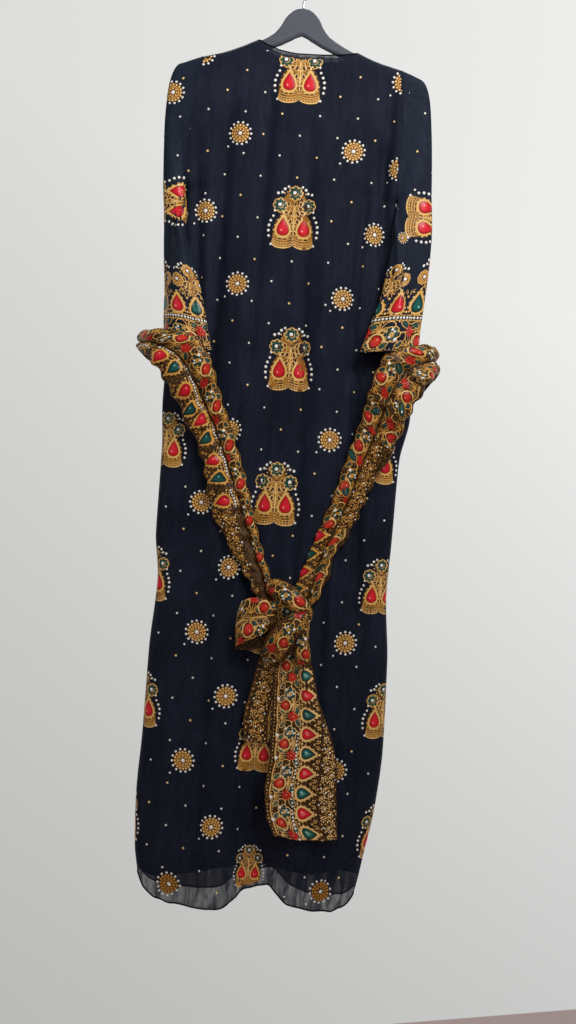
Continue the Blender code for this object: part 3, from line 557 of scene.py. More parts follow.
GROUND = printed_ground("printed_sash_georgette")
print("net of", NET_CELL * 1000, "mm")

# %% [markdown]
# The print shows gold work, cut stones and pearls. Each of its shapes carries a tone from 0 at its rim
# to 1 at its crown, and the material turns the tone into printed shades: a dark outline, the pure
# colour in the middle, and a small catch-light.

# %% Print colours
def print_colour(name, roughness, *codes):
    """Print paste, shaded by the tone of each shape. Codes are place and colour."""
    material, shader = new_material(name, roughness, specular=0.3)
    tone = add_node(material, "Attribute", attribute_name="tone")
    shade = add_node(
        material, "ValToRGB", None, {"Fac": tone.outputs["Fac"]}, list(zip(codes[::2], codes[1::2]))
    )
    join(material, shade, shader.inputs["Base Color"])
    return material


# Gold paste dries matt, stones and pearls glossier, and leaves are plain pigment.
PRINT_COLOURS = [
    print_colour("printed_gold", 0.42, 0.0, "241305", 0.2, "7E4F16", 0.45, "CA8A31", 0.72, "F0B753",
                 1.0, "FFE8B4"),
    print_colour("printed_umber", 0.6, 0.0, "160A07", 0.5, "4A1C0E", 1.0, "7E4A1C"),
    print_colour("printed_ruby", 0.28, 0.0, "70060F", 0.35, "C40F22", 0.8, "EC2434", 1.0, "FFB4A8"),
    print_colour("printed_emerald", 0.28, 0.0, "061A18", 0.4, "103F39", 0.8, "1E6A5E", 1.0, "B8E8DC"),
    print_colour("printed_pearl", 0.3, 0.0, "A89C86", 0.4, "F6F0E2", 1.0, "FFFFFF"),
    print_colour("printed_coral", 0.3, 0.0, "640C08", 0.4, "C22418", 0.8, "E8442C", 1.0, "FFB48C"),
    print_colour("printed_leaf_green", 0.45, 0.0, "071614", 0.5, "12403A", 1.0, "3B8072"),
]
GOLD, UMBER, RUBY, EMERALD, PEARL, CORAL, LEAF = range(len(PRINT_COLOURS))
print(len(PRINT_COLOURS), "print colours")

# %% [markdown]
# A garment on a hanger is photographed in even, soft light. The camera stands about two metres away and
# leans a little, as in the hand. A longer lens from farther off would flatten the sash, which stands
# out from the cloth.

# %% Camera
LEAN = math.radians(3.7)
CAMERA_FROM_CLOTH = 2.15
FRAME_TALL = 1.72
SENSOR = 36.0
LOOK_AT = (0.029, -0.025, -0.917)

camera_data = bpy.data.cameras.new("camera")
camera = bpy.data.objects.new("camera", camera_data)
scene.collection.objects.link(camera)
camera_data.sensor_width = SENSOR
camera_data.lens = SENSOR * CAMERA_FROM_CLOTH / FRAME_TALL
camera.location = (LOOK_AT[0], LOOK_AT[1] - CAMERA_FROM_CLOTH, LOOK_AT[2])
camera.rotation_euler = (math.radians(90), -LEAN, 0.0)
scene.camera = camera
print("lens", round(camera_data.lens, 1), "mm")

# %% [markdown]
# The room is a pale sky of light in place of a wall: brighter on the right, and greyer low down and
# behind the camera. A broad lamp stands on the right in front, a weak one on the left, and one behind
# the cloth, which lets the sheer hem glow. A real wall would throw the garment's shadow back at it.

# %% Room light
WALL_LEFT, WALL_RIGHT = "DDDDDA", "EEEFED"
WALL_LOW_SHARE = 0.67
DIM_SIDE_SHARE = 0.34

scene.view_settings.view_transform = "Standard"
scene.cycles.transparent_max_bounces = 24
world = bpy.data.worlds.new("pale_room")
world.use_nodes = True
scene.world = world
facing = add_node(world, "TexCoord")
axes = add_node(world, "SeparateXYZ", None, {"Vector": facing.outputs["Generated"]}).outputs
sideways = add_node(world, "MapRange", {"From Min": -0.5, "From Max": 0.5}, {"Value": axes["X"]})
tint = add_node(world, "ValToRGB", None, {"Fac": sideways}, [(0.28, WALL_LEFT), (0.72, WALL_RIGHT)])
full_light = add_node(world, "MapRange", {"To Min": 0.40, "To Max": 0.05}, {"Value": sideways})
height = add_node(
    world, "MapRange", {"From Min": -0.37, "To Min": WALL_LOW_SHARE},
    {"Value": axes["Z"], "From Max": full_light},
)
toward_wall = add_node(
    world, "MapRange", {"From Min": -0.4, "From Max": 0.6, "To Min": DIM_SIDE_SHARE}, {"Value": axes["Y"]},
)
strength = add_node(world, "Math", None, {0: height, 1: toward_wall}, operation="MULTIPLY")
background = world.node_tree.nodes["Background"].inputs
join(world, tint, background["Color"])
join(world, strength, background["Strength"])
print("light low down:", WALL_LOW_SHARE, "of the full light")

# %% Lamps and floor
def lamp(name, watts, size, place, aim, beam=180):
    data = bpy.data.lights.new(name, "AREA")
    data.energy, data.size, data.spread = watts, size, math.radians(beam)
    obj = bpy.data.objects.new(name, data)
    scene.collection.objects.link(obj)
    obj.location = place
    obj.rotation_euler = (Vector(aim) - Vector(place)).to_track_quat("-Z", "Y").to_euler()


lamp("window_right", 11.5, 0.9, (0.75, -1.3, 0.68), (-0.05, 0.0, -0.12), 110)
lamp("soft_left", 5.0, 1.8, (-2.2, -1.7, 0.0), (0.0, 0.0, -0.3))
lamp("from_behind", 16.0, 1.8, (-0.4, 2.4, 0.4), (0.0, 0.0, -0.85))

FLOOR_HEIGHT, FLOOR_HALF_WIDE, FLOOR_FRONT_EDGE = -1.84, 3.0, -3.6
# The floor's back edge runs aslant: its place on the left and on the right.
FLOOR_BACK_EDGE = {-1: -0.99, 1: 1.13}
bpy.ops.mesh.primitive_grid_add(x_subdivisions=1, y_subdivisions=1, size=1.0)
floor = bpy.context.active_object
floor.name = "floor"
for vertex in floor.data.vertices:
    side = 1 if vertex.co.x > 0 else -1
    y = FLOOR_BACK_EDGE[side] if vertex.co.y > 0 else FLOOR_FRONT_EDGE
    vertex.co = (side * FLOOR_HALF_WIDE, y, FLOOR_HEIGHT)
floor_paint, _ = new_material("pale_floor_paint", 0.7, specular=0.2, colour="B09B99")
floor.data.materials.append(floor_paint)
print("floor", -FLOOR_HEIGHT, "m below the hook")

# %% [markdown]
# The body is a front and a back, seamed along the shoulders and down both sides. Each is one grid that
# follows the tables. Near a side seam its columns draw together, because the cloth turns there in a few
# millimetres. Small creases are scattered over it by a seeded draw. They only sink in, so they never
# lift the cloth off its print.

# %% Small creases and the ripple of the hem
LONG_CREASES, HEM_CREASES = 46, 34
# Spans that a crease's place, size and depth are drawn from, and its usual lean.
LONG_CREASE = {"x": (-170, 170), "drop": (150, 1500), "length": (50, 210), "width": (5, 13),
               "sink": (0.3, 1.0), "lean": 0.22}
HEM_CREASE = {"x": (-180, 180), "drop": (1455, 1515), "length": (22, 60), "width": (4, 7),
              "sink": (1.0, 2.2), "lean": 0.6}
RIPPLE_FROM, RIPPLE_GROWS = 1420, 100
# Waves of the hem: height, pitch, sway, the sway's pitch, and the seed's shift.
HEM_WAVES = ((1.3, 9.7, 2.4, 43.0, 1), (1.1, 4.9, 3.0, 27.0, 0), (1.8, 21.0, 1.3, 60.0, 2))
CREASE_FREE_EDGE = 12.0


def crumple(grid, side, depth, seed):
    """Small soft creases that only sink into the cloth."""
    chance = np.random.default_rng(seed)
    x, drop = grid[..., 0], grid[..., 2]
    sunk = np.zeros_like(x)
    for _ in range(LONG_CREASES):
        spans = LONG_CREASE
        middle_x, middle_drop, length, width = (
            chance.uniform(*spans[name]) for name in ("x", "drop", "length", "width")
        )
        lean = chance.normal(0.0, spans["lean"])
        along = (drop - middle_drop) / length
        across = (x - middle_x - lean * (drop - middle_drop)) / width
        sunk += chance.uniform(*spans["sink"]) * np.exp(-(across**2)) * np.exp(-((along * 1.6) ** 4))
    for _ in range(HEM_CREASES):
        spans = HEM_CREASE
        middle_x, middle_drop, length = (chance.uniform(*spans[name]) for name in ("x", "drop", "length"))
        lean, width = chance.normal(0.0, spans["lean"]), chance.uniform(*spans["width"])
        along = (drop - middle_drop) / length
        across = (x - middle_x - lean * (drop - middle_drop)) / width
        sunk += chance.uniform(*spans["sink"]) * np.exp(-(across**2) - along**2)
    near_hem = np.clip((drop - RIPPLE_FROM) / RIPPLE_GROWS, 0, 1) ** 2
    ripple = sum(
        tall * np.sin(x / pitch + sway * np.sin(x / sway_pitch) + shift * seed)
        for tall, pitch, sway, sway_pitch, shift in HEM_WAVES
    )
    sunk += near_hem * (1.3 + ripple * 0.5)
    edge = np.clip(np.abs(grid[..., 1]) / CREASE_FREE_EDGE, 0, 1)
    out = np.array(grid)
    out[..., 2] += near_hem * ripple
    out[..., 1] = out[..., 1] - side * depth * edge * sunk
    return out


print(LONG_CREASES, "creases and", HEM_CREASES, "at the hem")

# %% Front and back panels
FINE_SPACING = 5.0
SEAM_STEPS = (0.0, 0.5, 1.4, 2.8, 5.0, 8.0)
TOP_SHARES = (0.0, 0.0007, 0.0025, 0.0055, 0.0095)
CREASE_DEPTH = 1.1
PANEL_GRIDS = {}


def down_shares(spacing):
    rest = np.arange(TOP_SHARES[-1] + spacing / FOOT_DROP, 0.999, spacing / FOOT_DROP)
    return np.concatenate([TOP_SHARES, rest, [1.0]])


def panel(name, node, body, material, spacing, creases, seed):
    shares = body.columns(spacing, SEAM_STEPS)
    grid = crumple(body.grid(shares, down_shares(spacing)), body.side, creases, seed)
    PANEL_GRIDS[name] = grid
    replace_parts(cloth(name, grid, material, np.array([0.0, body.side, 0.0])), node)


panel("front_panel", "body_front", FRONT, SHEER, FINE_SPACING, CREASE_DEPTH, 3)
panel("back_panel", "body_back", BACK, SHEER, 7.0, CREASE_DEPTH, 4)
panel("front_lining", "lining_front", Body(-1, lining=True), LINING, 8.0, 0.3, 5)
panel("back_lining", "lining_back", Body(1, lining=True), LINING, 8.0, 0.3, 6)
print(len(PANEL_GRIDS), "panels")

# %% [markdown]
# Each sleeve is a wide tube that fans out round the underarm. It has no lining. A cylinder pulled into
# shape would not meet the armhole, so the first ring is the armhole itself, and the others, down to the
# cuff, come from a table.

# %% Sizes of the sleeves
# For each ring: the line over the top of the arm, the line under it, and half the depth between.
SLEEVE_COLUMNS = ("top_x", "top_drop", "top_y", "under_x", "under_drop", "under_y", "half_depth")
SLEEVE_LEFT = SLEEVE_COLUMNS, (
    (-192, 103, 0, -180.5, 326, 0, 12.5), (-209, 112, 0, -178.5, 334, 0, 12),
    (-219, 142, 0, -176.5, 343, -2, 12), (-222.5, 196, -1, -175, 354, -5, 12),
    (-221, 253, -3, -173, 368.5, -11, 12), (-218, 312, -4, -174.5, 387, -14, 13),
    (-213, 368, -5, -168, 412, -20, 14), (-209.5, 428, -6, -156, 449, -22, 15),
    (-204, 488, -8, -139, 500, -26, 16), (-202, 541, -10, -127, 550, -30, 17),
    (-198, 589, -10, -116, 595, -32, 17),
)
SLEEVE_RIGHT = SLEEVE_COLUMNS, (
    (197, 103.8, 0, 180, 327, 0, 12.5), (214, 114, 0, 178, 335, 0, 12), (224.5, 143, 0, 176, 344, -2, 12),
    (231, 198, -1, 174.5, 355, -5, 12), (235, 255, -3, 172.5, 369, -9, 12),
    (238, 312, -4, 174.5, 387, -12, 13), (242, 366, -5, 172, 412, -18, 14),
    (241, 424, -6, 168, 447, -22, 15), (237, 480, -8, 159, 496, -26, 16),
    (233, 529, -10, 144, 541, -30, 17), (231, 574, -10, 131, 583, -32, 17),
)
# Rings from this one down lie on the body, clear of its side.
FIRST_RING_ON_BODY = 3
RINGS_TO_SETTLE = 4
SLEEVE_SIDE_CLEAR = (1.5, 6.0)
SLEEVE_SIDE_SLOPE = (5.0, 1.2)
SLEEVE_OFF_BODY = 1.2
# The armhole's bow fades from ring to ring, and its shape over five of them.
ARMHOLE_BOW_FADE, RINGS_TO_ROUND = 0.3, 5
SLEEVE_OFF_ARMHOLE = 0.1
SLEEVE_ROWS = 110
print("cuffs", SLEEVE_LEFT[1][-1][4], "and", SLEEVE_RIGHT[1][-1][4], "mm down")

# %% Sleeves
ARMHOLE_SHARES = np.concatenate([TOP_SHARES, np.linspace(0.015, 0.14, 22), np.linspace(0.143, UNDERARM, 9)])
SLEEVE_GRIDS = {}


def room_beside_body(sideways, x, drop, ring):
    """How far back a sleeve may lie beside or in front of the body."""
    settled = ease((ring - FIRST_RING_ON_BODY) / RINGS_TO_SETTLE)
    clear, slope = (low + (high - low) * settled for low, high in (SLEEVE_SIDE_CLEAR, SLEEVE_SIDE_SLOPE))
    left, right = FRONT.edges(drop)
    outside = (x - (left if sideways < 0 else right)) * sideways - clear
    on_body = -body_depth_at(FRONT, x - sideways * clear, drop)
    return np.where(outside > 0, outside * slope, on_body) - SLEEVE_OFF_BODY


def sleeve_rings(sideways, table):
    share = np.array([0.0 if sideways < 0 else 1.0])
    front, back = (body.grid(share, ARMHOLE_SHARES)[:, 0] for body in (FRONT, BACK))
    steps = len(front) - 1
    even = (1 - np.cos(np.linspace(0, math.pi, steps + 1))) / 2
    first = (front[:, 2] - front[0, 2]) / (front[-1, 2] - front[0, 2])
    aside = np.array([sideways * (SEAM_GAP + SLEEVE_OFF_ARMHOLE), 0.0, 0.0])
    ring_front, ring_back = front + aside, back + aside
    for ring in (ring_front, ring_back):
        ring[0, 1] = ring[-1, 1] = 0.0
    rings = [np.concatenate([ring_front, ring_back[-2:0:-1]])]
    armhole_shape = np.abs(front[:, 1]) / ARMHOLE_HALF_DEPTH
    armhole_shape[0] = armhole_shape[-1] = 0.0
    bow = front[:, 0] - (front[0, 0] + (front[-1, 0] - front[0, 0]) * first)
    for i, (top_x, drop_top, top_y, under_x, under_drop, under_y, half_depth) in enumerate(table[1]):
        settle = ease((i + 1) / RINGS_TO_ROUND)
        share = first + (even - first) * settle
        rounded = np.sin(np.pi * np.arange(steps + 1) / steps) ** 0.7
        shape = armhole_shape * (1 - settle) + rounded * settle
        shape[0], shape[-1] = 0.0, 0.0
        x = top_x + (under_x - top_x) * share + bow * ARMHOLE_BOW_FADE ** (i + 1)
        drop = drop_top + (under_drop - drop_top) * share
        half = half_depth * shape
        middle = top_y + (under_y - top_y) * share**1.5
        if i >= FIRST_RING_ON_BODY:
            middle = np.minimum(middle, room_beside_body(sideways, x, drop, i) - half)
        face = np.stack([x, middle - half, drop], axis=-1)
        rear = np.stack([x, middle + half, drop], axis=-1)
        rings.append(np.concatenate([face, rear[-2:0:-1]]))
    return np.array(rings)


for side, sideways, table in (("left", -1.0, SLEEVE_LEFT), ("right", 1.0, SLEEVE_RIGHT)):
    grid = refine(sleeve_rings(sideways, table), SLEEVE_ROWS)
    SLEEVE_GRIDS[side + "_sleeve"] = grid
    outward = grid - grid.mean(axis=1, keepdims=True)
    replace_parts(cloth(side + "_sleeve", grid, SLEEVE_SHEER, outward, around=True), "sleeve_" + side)
print("sleeves of", SLEEVE_ROWS, "rings each")

# %% [markdown]
# The hanger is a flat board of painted wood with a hump in the middle, where a steel wire hook stands.
# Their solids already have the right shape, so they stay and only take a better finish.

# %% Hanger paint and wire
# Satin paint keeps a faint grain of lines about 2 mm apart that run along the board.
WOOD_PAINT, wood_shader = new_material("grey_paint_on_wood", 0.5, specular=0.35, colour="484B55")
where = add_node(WOOD_PAINT, "TexCoord").outputs["Object"]
stretch = add_node(WOOD_PAINT, "Mapping", {"Scale": (30.0, 30.0, 420.0)}, {"Vector": where})
grain = add_node(WOOD_PAINT, "TexNoise", {"Scale": 1.0, "Detail": 4.0}, {"Vector": stretch})
shade = add_node(WOOD_PAINT, "ValToRGB", None, {"Fac": grain}, [(0.25, "484B55"), (0.75, "535661")])
join(WOOD_PAINT, shade, wood_shader.inputs["Base Color"])
bump = add_node(WOOD_PAINT, "Bump", {"Strength": 0.25, "Distance": 0.0004}, {"Height": grain})
join(WOOD_PAINT, bump, wood_shader.inputs["Normal"])

# Drawn wire: bright steel whose shine breaks up in specks of about 1 mm.
WIRE, wire_shader = new_material("drawn_steel_wire", 0.32, metallic=1.0, colour="A9AAAC")
where = add_node(WIRE, "TexCoord").outputs["Object"]
streak = add_node(WIRE, "TexNoise", {"Scale": 900.0, "Detail": 2.0}, {"Vector": where})
dull = add_node(WIRE, "MapRange", {"To Min": 0.24, "To Max": 0.44}, {"Value": streak})
join(WIRE, dull, wire_shader.inputs["Roughness"])

for node, finish in (("hanger_body", WOOD_PAINT), ("hanger_hook", WIRE)):
    for slot in bpy.data.objects[node].material_slots:
        slot.material = finish
    print(node, "is finished with", finish.name)

# %% [markdown]
# The neck is finished with a narrow rolled edge, a cord of cloth less than 3 mm thick, so a bevelled
# curve makes it well. Sheer cloth is hemmed with the same roll, because a flat hem would show through.
# Its seams are rolled too, so a roll also runs round each armhole and down both sides.

# %% Neck edge
WALL = 1.4
BINDING_RADIUS = 1.3
BINDING_OFF_EDGE = 0.6
BINDING_SPACING, BINDING_STEPS = 4.0, (0.0, 2.4, 9.0)
# The roll faces a place this far above the middle of its loop.
ROLL_LOOKS_UP = 30.0


def neck_path():
    left, right = FRONT.edges(SHOULDER_END_DROP)
    x = left + (right - left) * FRONT.columns(BINDING_SPACING, BINDING_STEPS)
    x = x[(x > NECK_LEFT - 0.5) & (x < NECK_RIGHT + 0.5)]
    drop = top_drop(x)
    sides = [
        np.stack([x, body.side * body.depth(x, drop, np.zeros_like(x)), drop], axis=-1)
        for body in (FRONT, BACK)
    ]
    loop = np.concatenate([sides[0], sides[1][-2:0:-1]])
    tangent = unit(np.roll(loop, -1, axis=0) - np.roll(loop, 1, axis=0))
    flat = unit(np.stack([np.zeros(len(loop)), loop[:, 1], np.zeros(len(loop))], axis=-1))
    over = np.clip(np.abs(loop[:, 1:2]) / SHOULDER_ROUND, 0, 1)
    upward = np.array([0.0, 0.0, -1.0])
    surface = unit(flat * over + upward * np.sqrt(1 - over**2))
    away = unit(np.cross(tangent, surface))
    middle = loop.mean(axis=0) + upward * ROLL_LOOKS_UP
    away = away * np.sign(np.sum(away * (middle - loop), axis=-1, keepdims=True))
    return loop - surface * WALL / 2 + away * (BINDING_RADIUS + BINDING_OFF_EDGE)


def rolled_edge(name, points, radius, material, closed):
    curve = bpy.data.curves.new(name, "CURVE")
    curve.dimensions = "3D"
    curve.bevel_depth = radius * MM
    curve.bevel_resolution = 2
    curve.use_fill_caps = not closed
    spline = curve.splines.new("POLY")
    spline.points.add(len(points) - 1)
    for point, co in zip(spline.points, to_world(points)):
        point.co = (*co, 1.0)
    spline.use_cyclic_u = closed
    roll = bpy.data.objects.new(name, curve)
    scene.collection.objects.link(roll)
    select_only(roll)
    bpy.ops.object.convert(target="MESH")
    roll = bpy.context.active_object
    roll.data.materials.clear()
    roll.data.materials.append(material)
    roll.data.shade_smooth()
    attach(roll, ROOT)
    return roll


neck_edge = rolled_edge("neck_edge", neck_path(), BINDING_RADIUS, ROLLED, True)
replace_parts(neck_edge, "neck_binding")
print("neck edge", len(neck_edge.data.polygons), "faces")

# %% Rolled hems and seams
HEM_ROLL, CUFF_ROLL, SEAM_ROLL, ARMHOLE_ROLL = 1.4, 0.9, 0.9, 0.8


def last_row(grid, inward):
    """The free edge of a cloth, moved in by the radius of its roll."""
    return grid[-1] + unit(grid[-4] - grid[-1]) * inward


for name, grid in PANEL_GRIDS.items():
    if "panel" in name:
        rolled_edge(name + "_hem_roll", last_row(grid, HEM_ROLL + 0.1), HEM_ROLL, ROLLED, False)
for name, grid in SLEEVE_GRIDS.items():
    rolled_edge(name + "_hem_roll", last_row(grid, CUFF_ROLL), CUFF_ROLL, ROLLED, True)
    rolled_edge(name + "_armhole_roll", grid[0], ARMHOLE_ROLL, SEAMED, True)
side_grid = FRONT.grid(np.array([0.0, 1.0]), np.linspace(UNDERARM + 0.002, 0.997, 150))
for k, name in enumerate(("left_side_seam", "right_side_seam")):
    line = np.array(side_grid[:, k])
    line[:, 1] = 0.0
    rolled_edge(name, line, SEAM_ROLL, SEAMED, False)
print("hems rolled", 2 * HEM_ROLL, "mm thick")

# %% [markdown]
# The sash is one long band, about as wide as a hand. It passes behind the back, comes round the outside
# of both sleeves and falls in a V to the knot. Two lengthwise folds run along each arm, its inner edge
# is cut in shallow scallops, and the cloth is crushed in small wrinkles. A band bent along a curve
# would keep one width, so each arm is drawn between two edges of its own.

# %% Sizes of the sash
SASH_WALL = 2.4
SASH_CLOTH_WALL = 1.4
SASH_BACK_TOP = 560.0
SASH_BACK_FOOT = 641.0
SASH_OFF_CLOTH = 1.0
ARM_COLUMNS = ("upper_x", "upper_y", "upper_drop", "lower_x", "lower_y", "lower_drop")
SASH_ARM_LEFT = ARM_COLUMNS, (
    (-194, 17, 560, -192, 17, 641), (-222, 14, 562, -213, 14, 620), (-237, -2, 565, -238, -2, 598),
    (-206, -48, 565, -232, -30, 604), (-146, -61, 573, -206, -52, 628), (-114, -60, 612, -181, -52, 664),
    (-97, -42, 662, -153, -36, 712), (-66, -32, 742, -121, -30, 776), (-41, -31, 815, -105, -30, 842),
    (-25, -33, 872, -80, -32, 897), (-3, -37, 938, -40, -36, 958), (24, -41.5, 1002, -6, -41, 1012),
)
SASH_ARM_RIGHT = ARM_COLUMNS, (
    (234, 20, 560, 234, 20, 641), (250, 12, 564, 252, 12, 632), (256, -8, 561, 264, -4, 608),
    (232, -48, 563, 258, -26, 614), (172, -61, 587, 243, -48, 638), (151, -58, 641, 219, -50, 684),
    (141, -42, 690, 200, -37, 738), (121, -33, 756, 172, -30, 790), (100, -31, 832, 154, -30, 838),
    (80, -32, 886, 137, -31, 880), (62, -35, 940, 112, -34, 926), (47, -39, 985, 99, -38, 976),
    (42, -42, 1012, 76, -41, 1014),
)
ARM_ROWS, ARM_COLS = 170, 44
FORWARD = np.array([0.0, -1.0, 0.0])
print(len(SASH_ARM_LEFT[1]), "and", len(SASH_ARM_RIGHT[1]), "places along the arms")

# %% Arms of the sash
# How far the scallops, the outer edge's unevenness and each roll stand out.
SCALLOP, OUTER_UNEVEN, SCALLOP_PITCH = 4.0, 2.8, 33.0
ROLL_TALL = 8.5


def wave_edges(grid):
    """Scallops along the inner edge, unevenness along the outer one."""
    width = unit(grid[:, :1] - grid[:, -1:])
    along = run_length(grid, 0).mean(axis=1)
    share = np.linspace(1, 0, grid.shape[1])[None, :, None]
    scallop = SCALLOP * (np.abs(np.sin(math.pi * along / SCALLOP_PITCH)) - 0.6)
    uneven = OUTER_UNEVEN * np.sin(along / 7.3 + 1.7 * np.sin(along / 31.0))
    out = grid + width * scallop[:, None, None] * share**3
    return out - width * uneven[:, None, None] * (1 - share) ** 3


def two_rolls(share, valley, tall):
    """Profile of two soft rolls with a sharp valley between."""
    part = np.where(share < valley, share / valley, (share - valley) / (1 - valley))
    return tall * np.sin(math.pi * np.clip(part, 0, 1)) ** 0.6


def wrinkles(along, across, split, phase):
    pucker = 1.2 * np.sin(along / 8.0 + phase + 5 * across) * np.sin(along / 19.0 + 9 * across)
    near_valley = np.exp(-(((across - split) / 0.12) ** 2))
    pucker += 1.7 * np.sin(along / 5.5 + 3 * np.sin(along / 37.0)) * near_valley
    crush = np.sin(along / 3.4 + 5 * across + 2.2 * np.sin(along / 23.0 + phase))
    return pucker + 1.3 * crush * np.sin(along / 11.0 + 4 * across + phase) * np.sin(math.pi * across)


def arm_grid(table, phase, valley):
    """Grid of one arm, and the line of its valley."""
    keys = np.arange(len(table[1]))
    at = np.linspace(0, len(keys) - 1, ARM_ROWS)
    edges = [
        np.stack([smooth(keys, column(table, side + axis), at) for axis in ("x", "y", "drop")], -1)
        for side in ("upper_", "lower_")
    ]
    across = np.linspace(0, 1, ARM_COLS)
    middle = edges[0][:, None] + (edges[1] - edges[0])[:, None] * across[None, :, None]
    depth = body_depth_at(FRONT, middle[..., 0], middle[..., 2])
    on_body = np.minimum(middle[..., 1], -(depth + SASH_OFF_CLOTH + SASH_WALL))
    settled = ease(at - 5.0)[:, None]
    middle[..., 1] = middle[..., 1] * (1 - settled) + on_body * settled
    normal = grid_normals(middle, FORWARD)
    normal[0] = -FORWARD
    along = run_length(middle, 0).mean(axis=1)[:, None]
    split = smooth(np.linspace(0, along[-1, 0], len(valley)), valley, along) + 0.03 * np.sin(along / 41.0)
    height = two_rolls(across[None, :], split, ROLL_TALL) + wrinkles(along, across, split, phase)
    outer = wave_edges(middle + normal * (height * ease(at / 2.0 + 0.1)[:, None])[..., None])
    at_valley = [np.interp(s, across, row) for s, row in zip(split[:, 0], run_length(outer, 1))]
    return outer, (run_length(outer, 0).mean(axis=1), np.array(at_valley))


ARM_GRIDS, VALLEYS = {}, {}
for side, *shape in (
    ("left", SASH_ARM_LEFT, 0.0, (0.55, 0.54, 0.38, 0.31, 0.31)),
    ("right", SASH_ARM_RIGHT, 2.0, (0.5, 0.5, 0.47, 0.5, 0.6)),
):
    grid, VALLEYS[side] = arm_grid(*shape)
    ARM_GRIDS[side] = grid
    facing = grid_normals(grid, FORWARD)
    arm = cloth("sash_arm_" + side + "_cloth", grid, GROUND, facing, wall=SASH_CLOTH_WALL)
    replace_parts(arm, "sash_arm_" + side)
    print(side, "arm", round(VALLEYS[side][0][-1]), "mm long")

# %% [markdown]
# Behind the back the sash is a flat band with two soft folds. Nobody sees it in the picture, so it is
# kept as plain as a band against cloth would be.

# %% Band across the back
BAND_RIDGES = (0.0, 3.6, 5.2, 3.2, 0.4, 3.4, 4.8, 3.0, 0.0)
BAND_RIDGE_SHARE, BAND_END = 0.8, 60


def back_band_grid():
    left, right = SASH_ARM_LEFT[1][0], SASH_ARM_RIGHT[1][0]
    x = np.linspace(left[0] + 0.5, right[0] - 0.5, 120)
    grid_x, grid_drop = np.meshgrid(x, np.linspace(SASH_BACK_TOP, SASH_BACK_FOOT, 24))
    depth = body_depth_at(BACK, grid_x, grid_drop)
    band = left[1] + (right[1] - left[1]) * (grid_x - x[0]) / (x[-1] - x[0])
    across = (grid_drop - SASH_BACK_TOP) / (SASH_BACK_FOOT - SASH_BACK_TOP)
    ridge = smooth(np.linspace(0, 1, len(BAND_RIDGES)), BAND_RIDGES, across)
    end = ease(np.minimum(grid_x - x[0], x[-1] - grid_x) / BAND_END)
    y = np.maximum(band, depth + SASH_OFF_CLOTH + SASH_WALL) + ridge * BAND_RIDGE_SHARE * end
    return np.swapaxes(np.stack([grid_x, y, grid_drop], axis=-1), 0, 1)


BACK_BAND = back_band_grid()
back_band = cloth("sash_back_cloth", BACK_BAND, GROUND, -FORWARD, wall=SASH_CLOTH_WALL)
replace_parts(back_band, "sash_back")
print("band behind the back", round(np.ptp(BACK_BAND[..., 0])), "mm long")

# %% [markdown]
# Below the knot the sash's two ends hang side by side as tails. Each is a strip with shallow waves
# across it, widest near its foot, where the cut edge sags a little in the middle.

# %% Tails of the sash
TAIL_COLUMNS = ("drop", "left", "right", "lift", "pleat")
TAIL_FRONT = TAIL_COLUMNS, (
    (1072, 24, 70, 14.5, 4.5), (1117, 24, 88, 14, 4.5), (1162, 24, 99, 14, 4), (1210, 25, 119, 14, 3.5),
    (1269, 25, 137, 14, 3.5), (1314, 20, 139.5, 13, 3), (1362, 25, 143, 12, 3), (1398, 40, 146, 12, 2.5),
)
TAIL_BACK = TAIL_COLUMNS, (
    (1078, 0, 46, 6, 2), (1120, -7, 50, 6, 2), (1160, -15, 54, 6, 2), (1200, -23, 58, 6, 2),
    (1240, -21, 61, 6, 2),
)
TAIL_WAVES = 2.5
FOOT_DIP = 5.0


def tail_grid(table, phase, rows, cols):
    drops = column(table, "drop")
    down = np.linspace(drops[0], drops[-1], rows)
    across = np.linspace(0, 1, cols)
    left, right, lift, pleat = (
        read(table, "drop", name, down)[:, None] for name in ("left", "right", "lift", "pleat")
    )
    drop = np.repeat(down[:, None], cols, axis=1)
    wave = np.cos(2 * math.pi * TAIL_WAVES * across + phase)[None, :]
    y = -(read(BODY_DEPTH, "drop", "front", drop) + lift + pleat * wave)
    share = ((drop - drops[0]) / (drops[-1] - drops[0])) ** 6
    sag = share * (np.sin(math.pi * across) * FOOT_DIP - FOOT_DIP)
    return np.stack([left + (right - left) * across, y, drop + sag], axis=-1)


TAIL_GRIDS = {"front": tail_grid(TAIL_FRONT, 0.4, 96, 52), "back": tail_grid(TAIL_BACK, 2.0, 56, 40)}
for side, grid in TAIL_GRIDS.items():
    tail = cloth("sash_tail_" + side + "_cloth", grid, GROUND, FORWARD, wall=SASH_CLOTH_WALL)
    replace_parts(tail, "sash_tail_" + side)
    print(side, "tail ends", round(grid[..., 2].max()), "mm down")
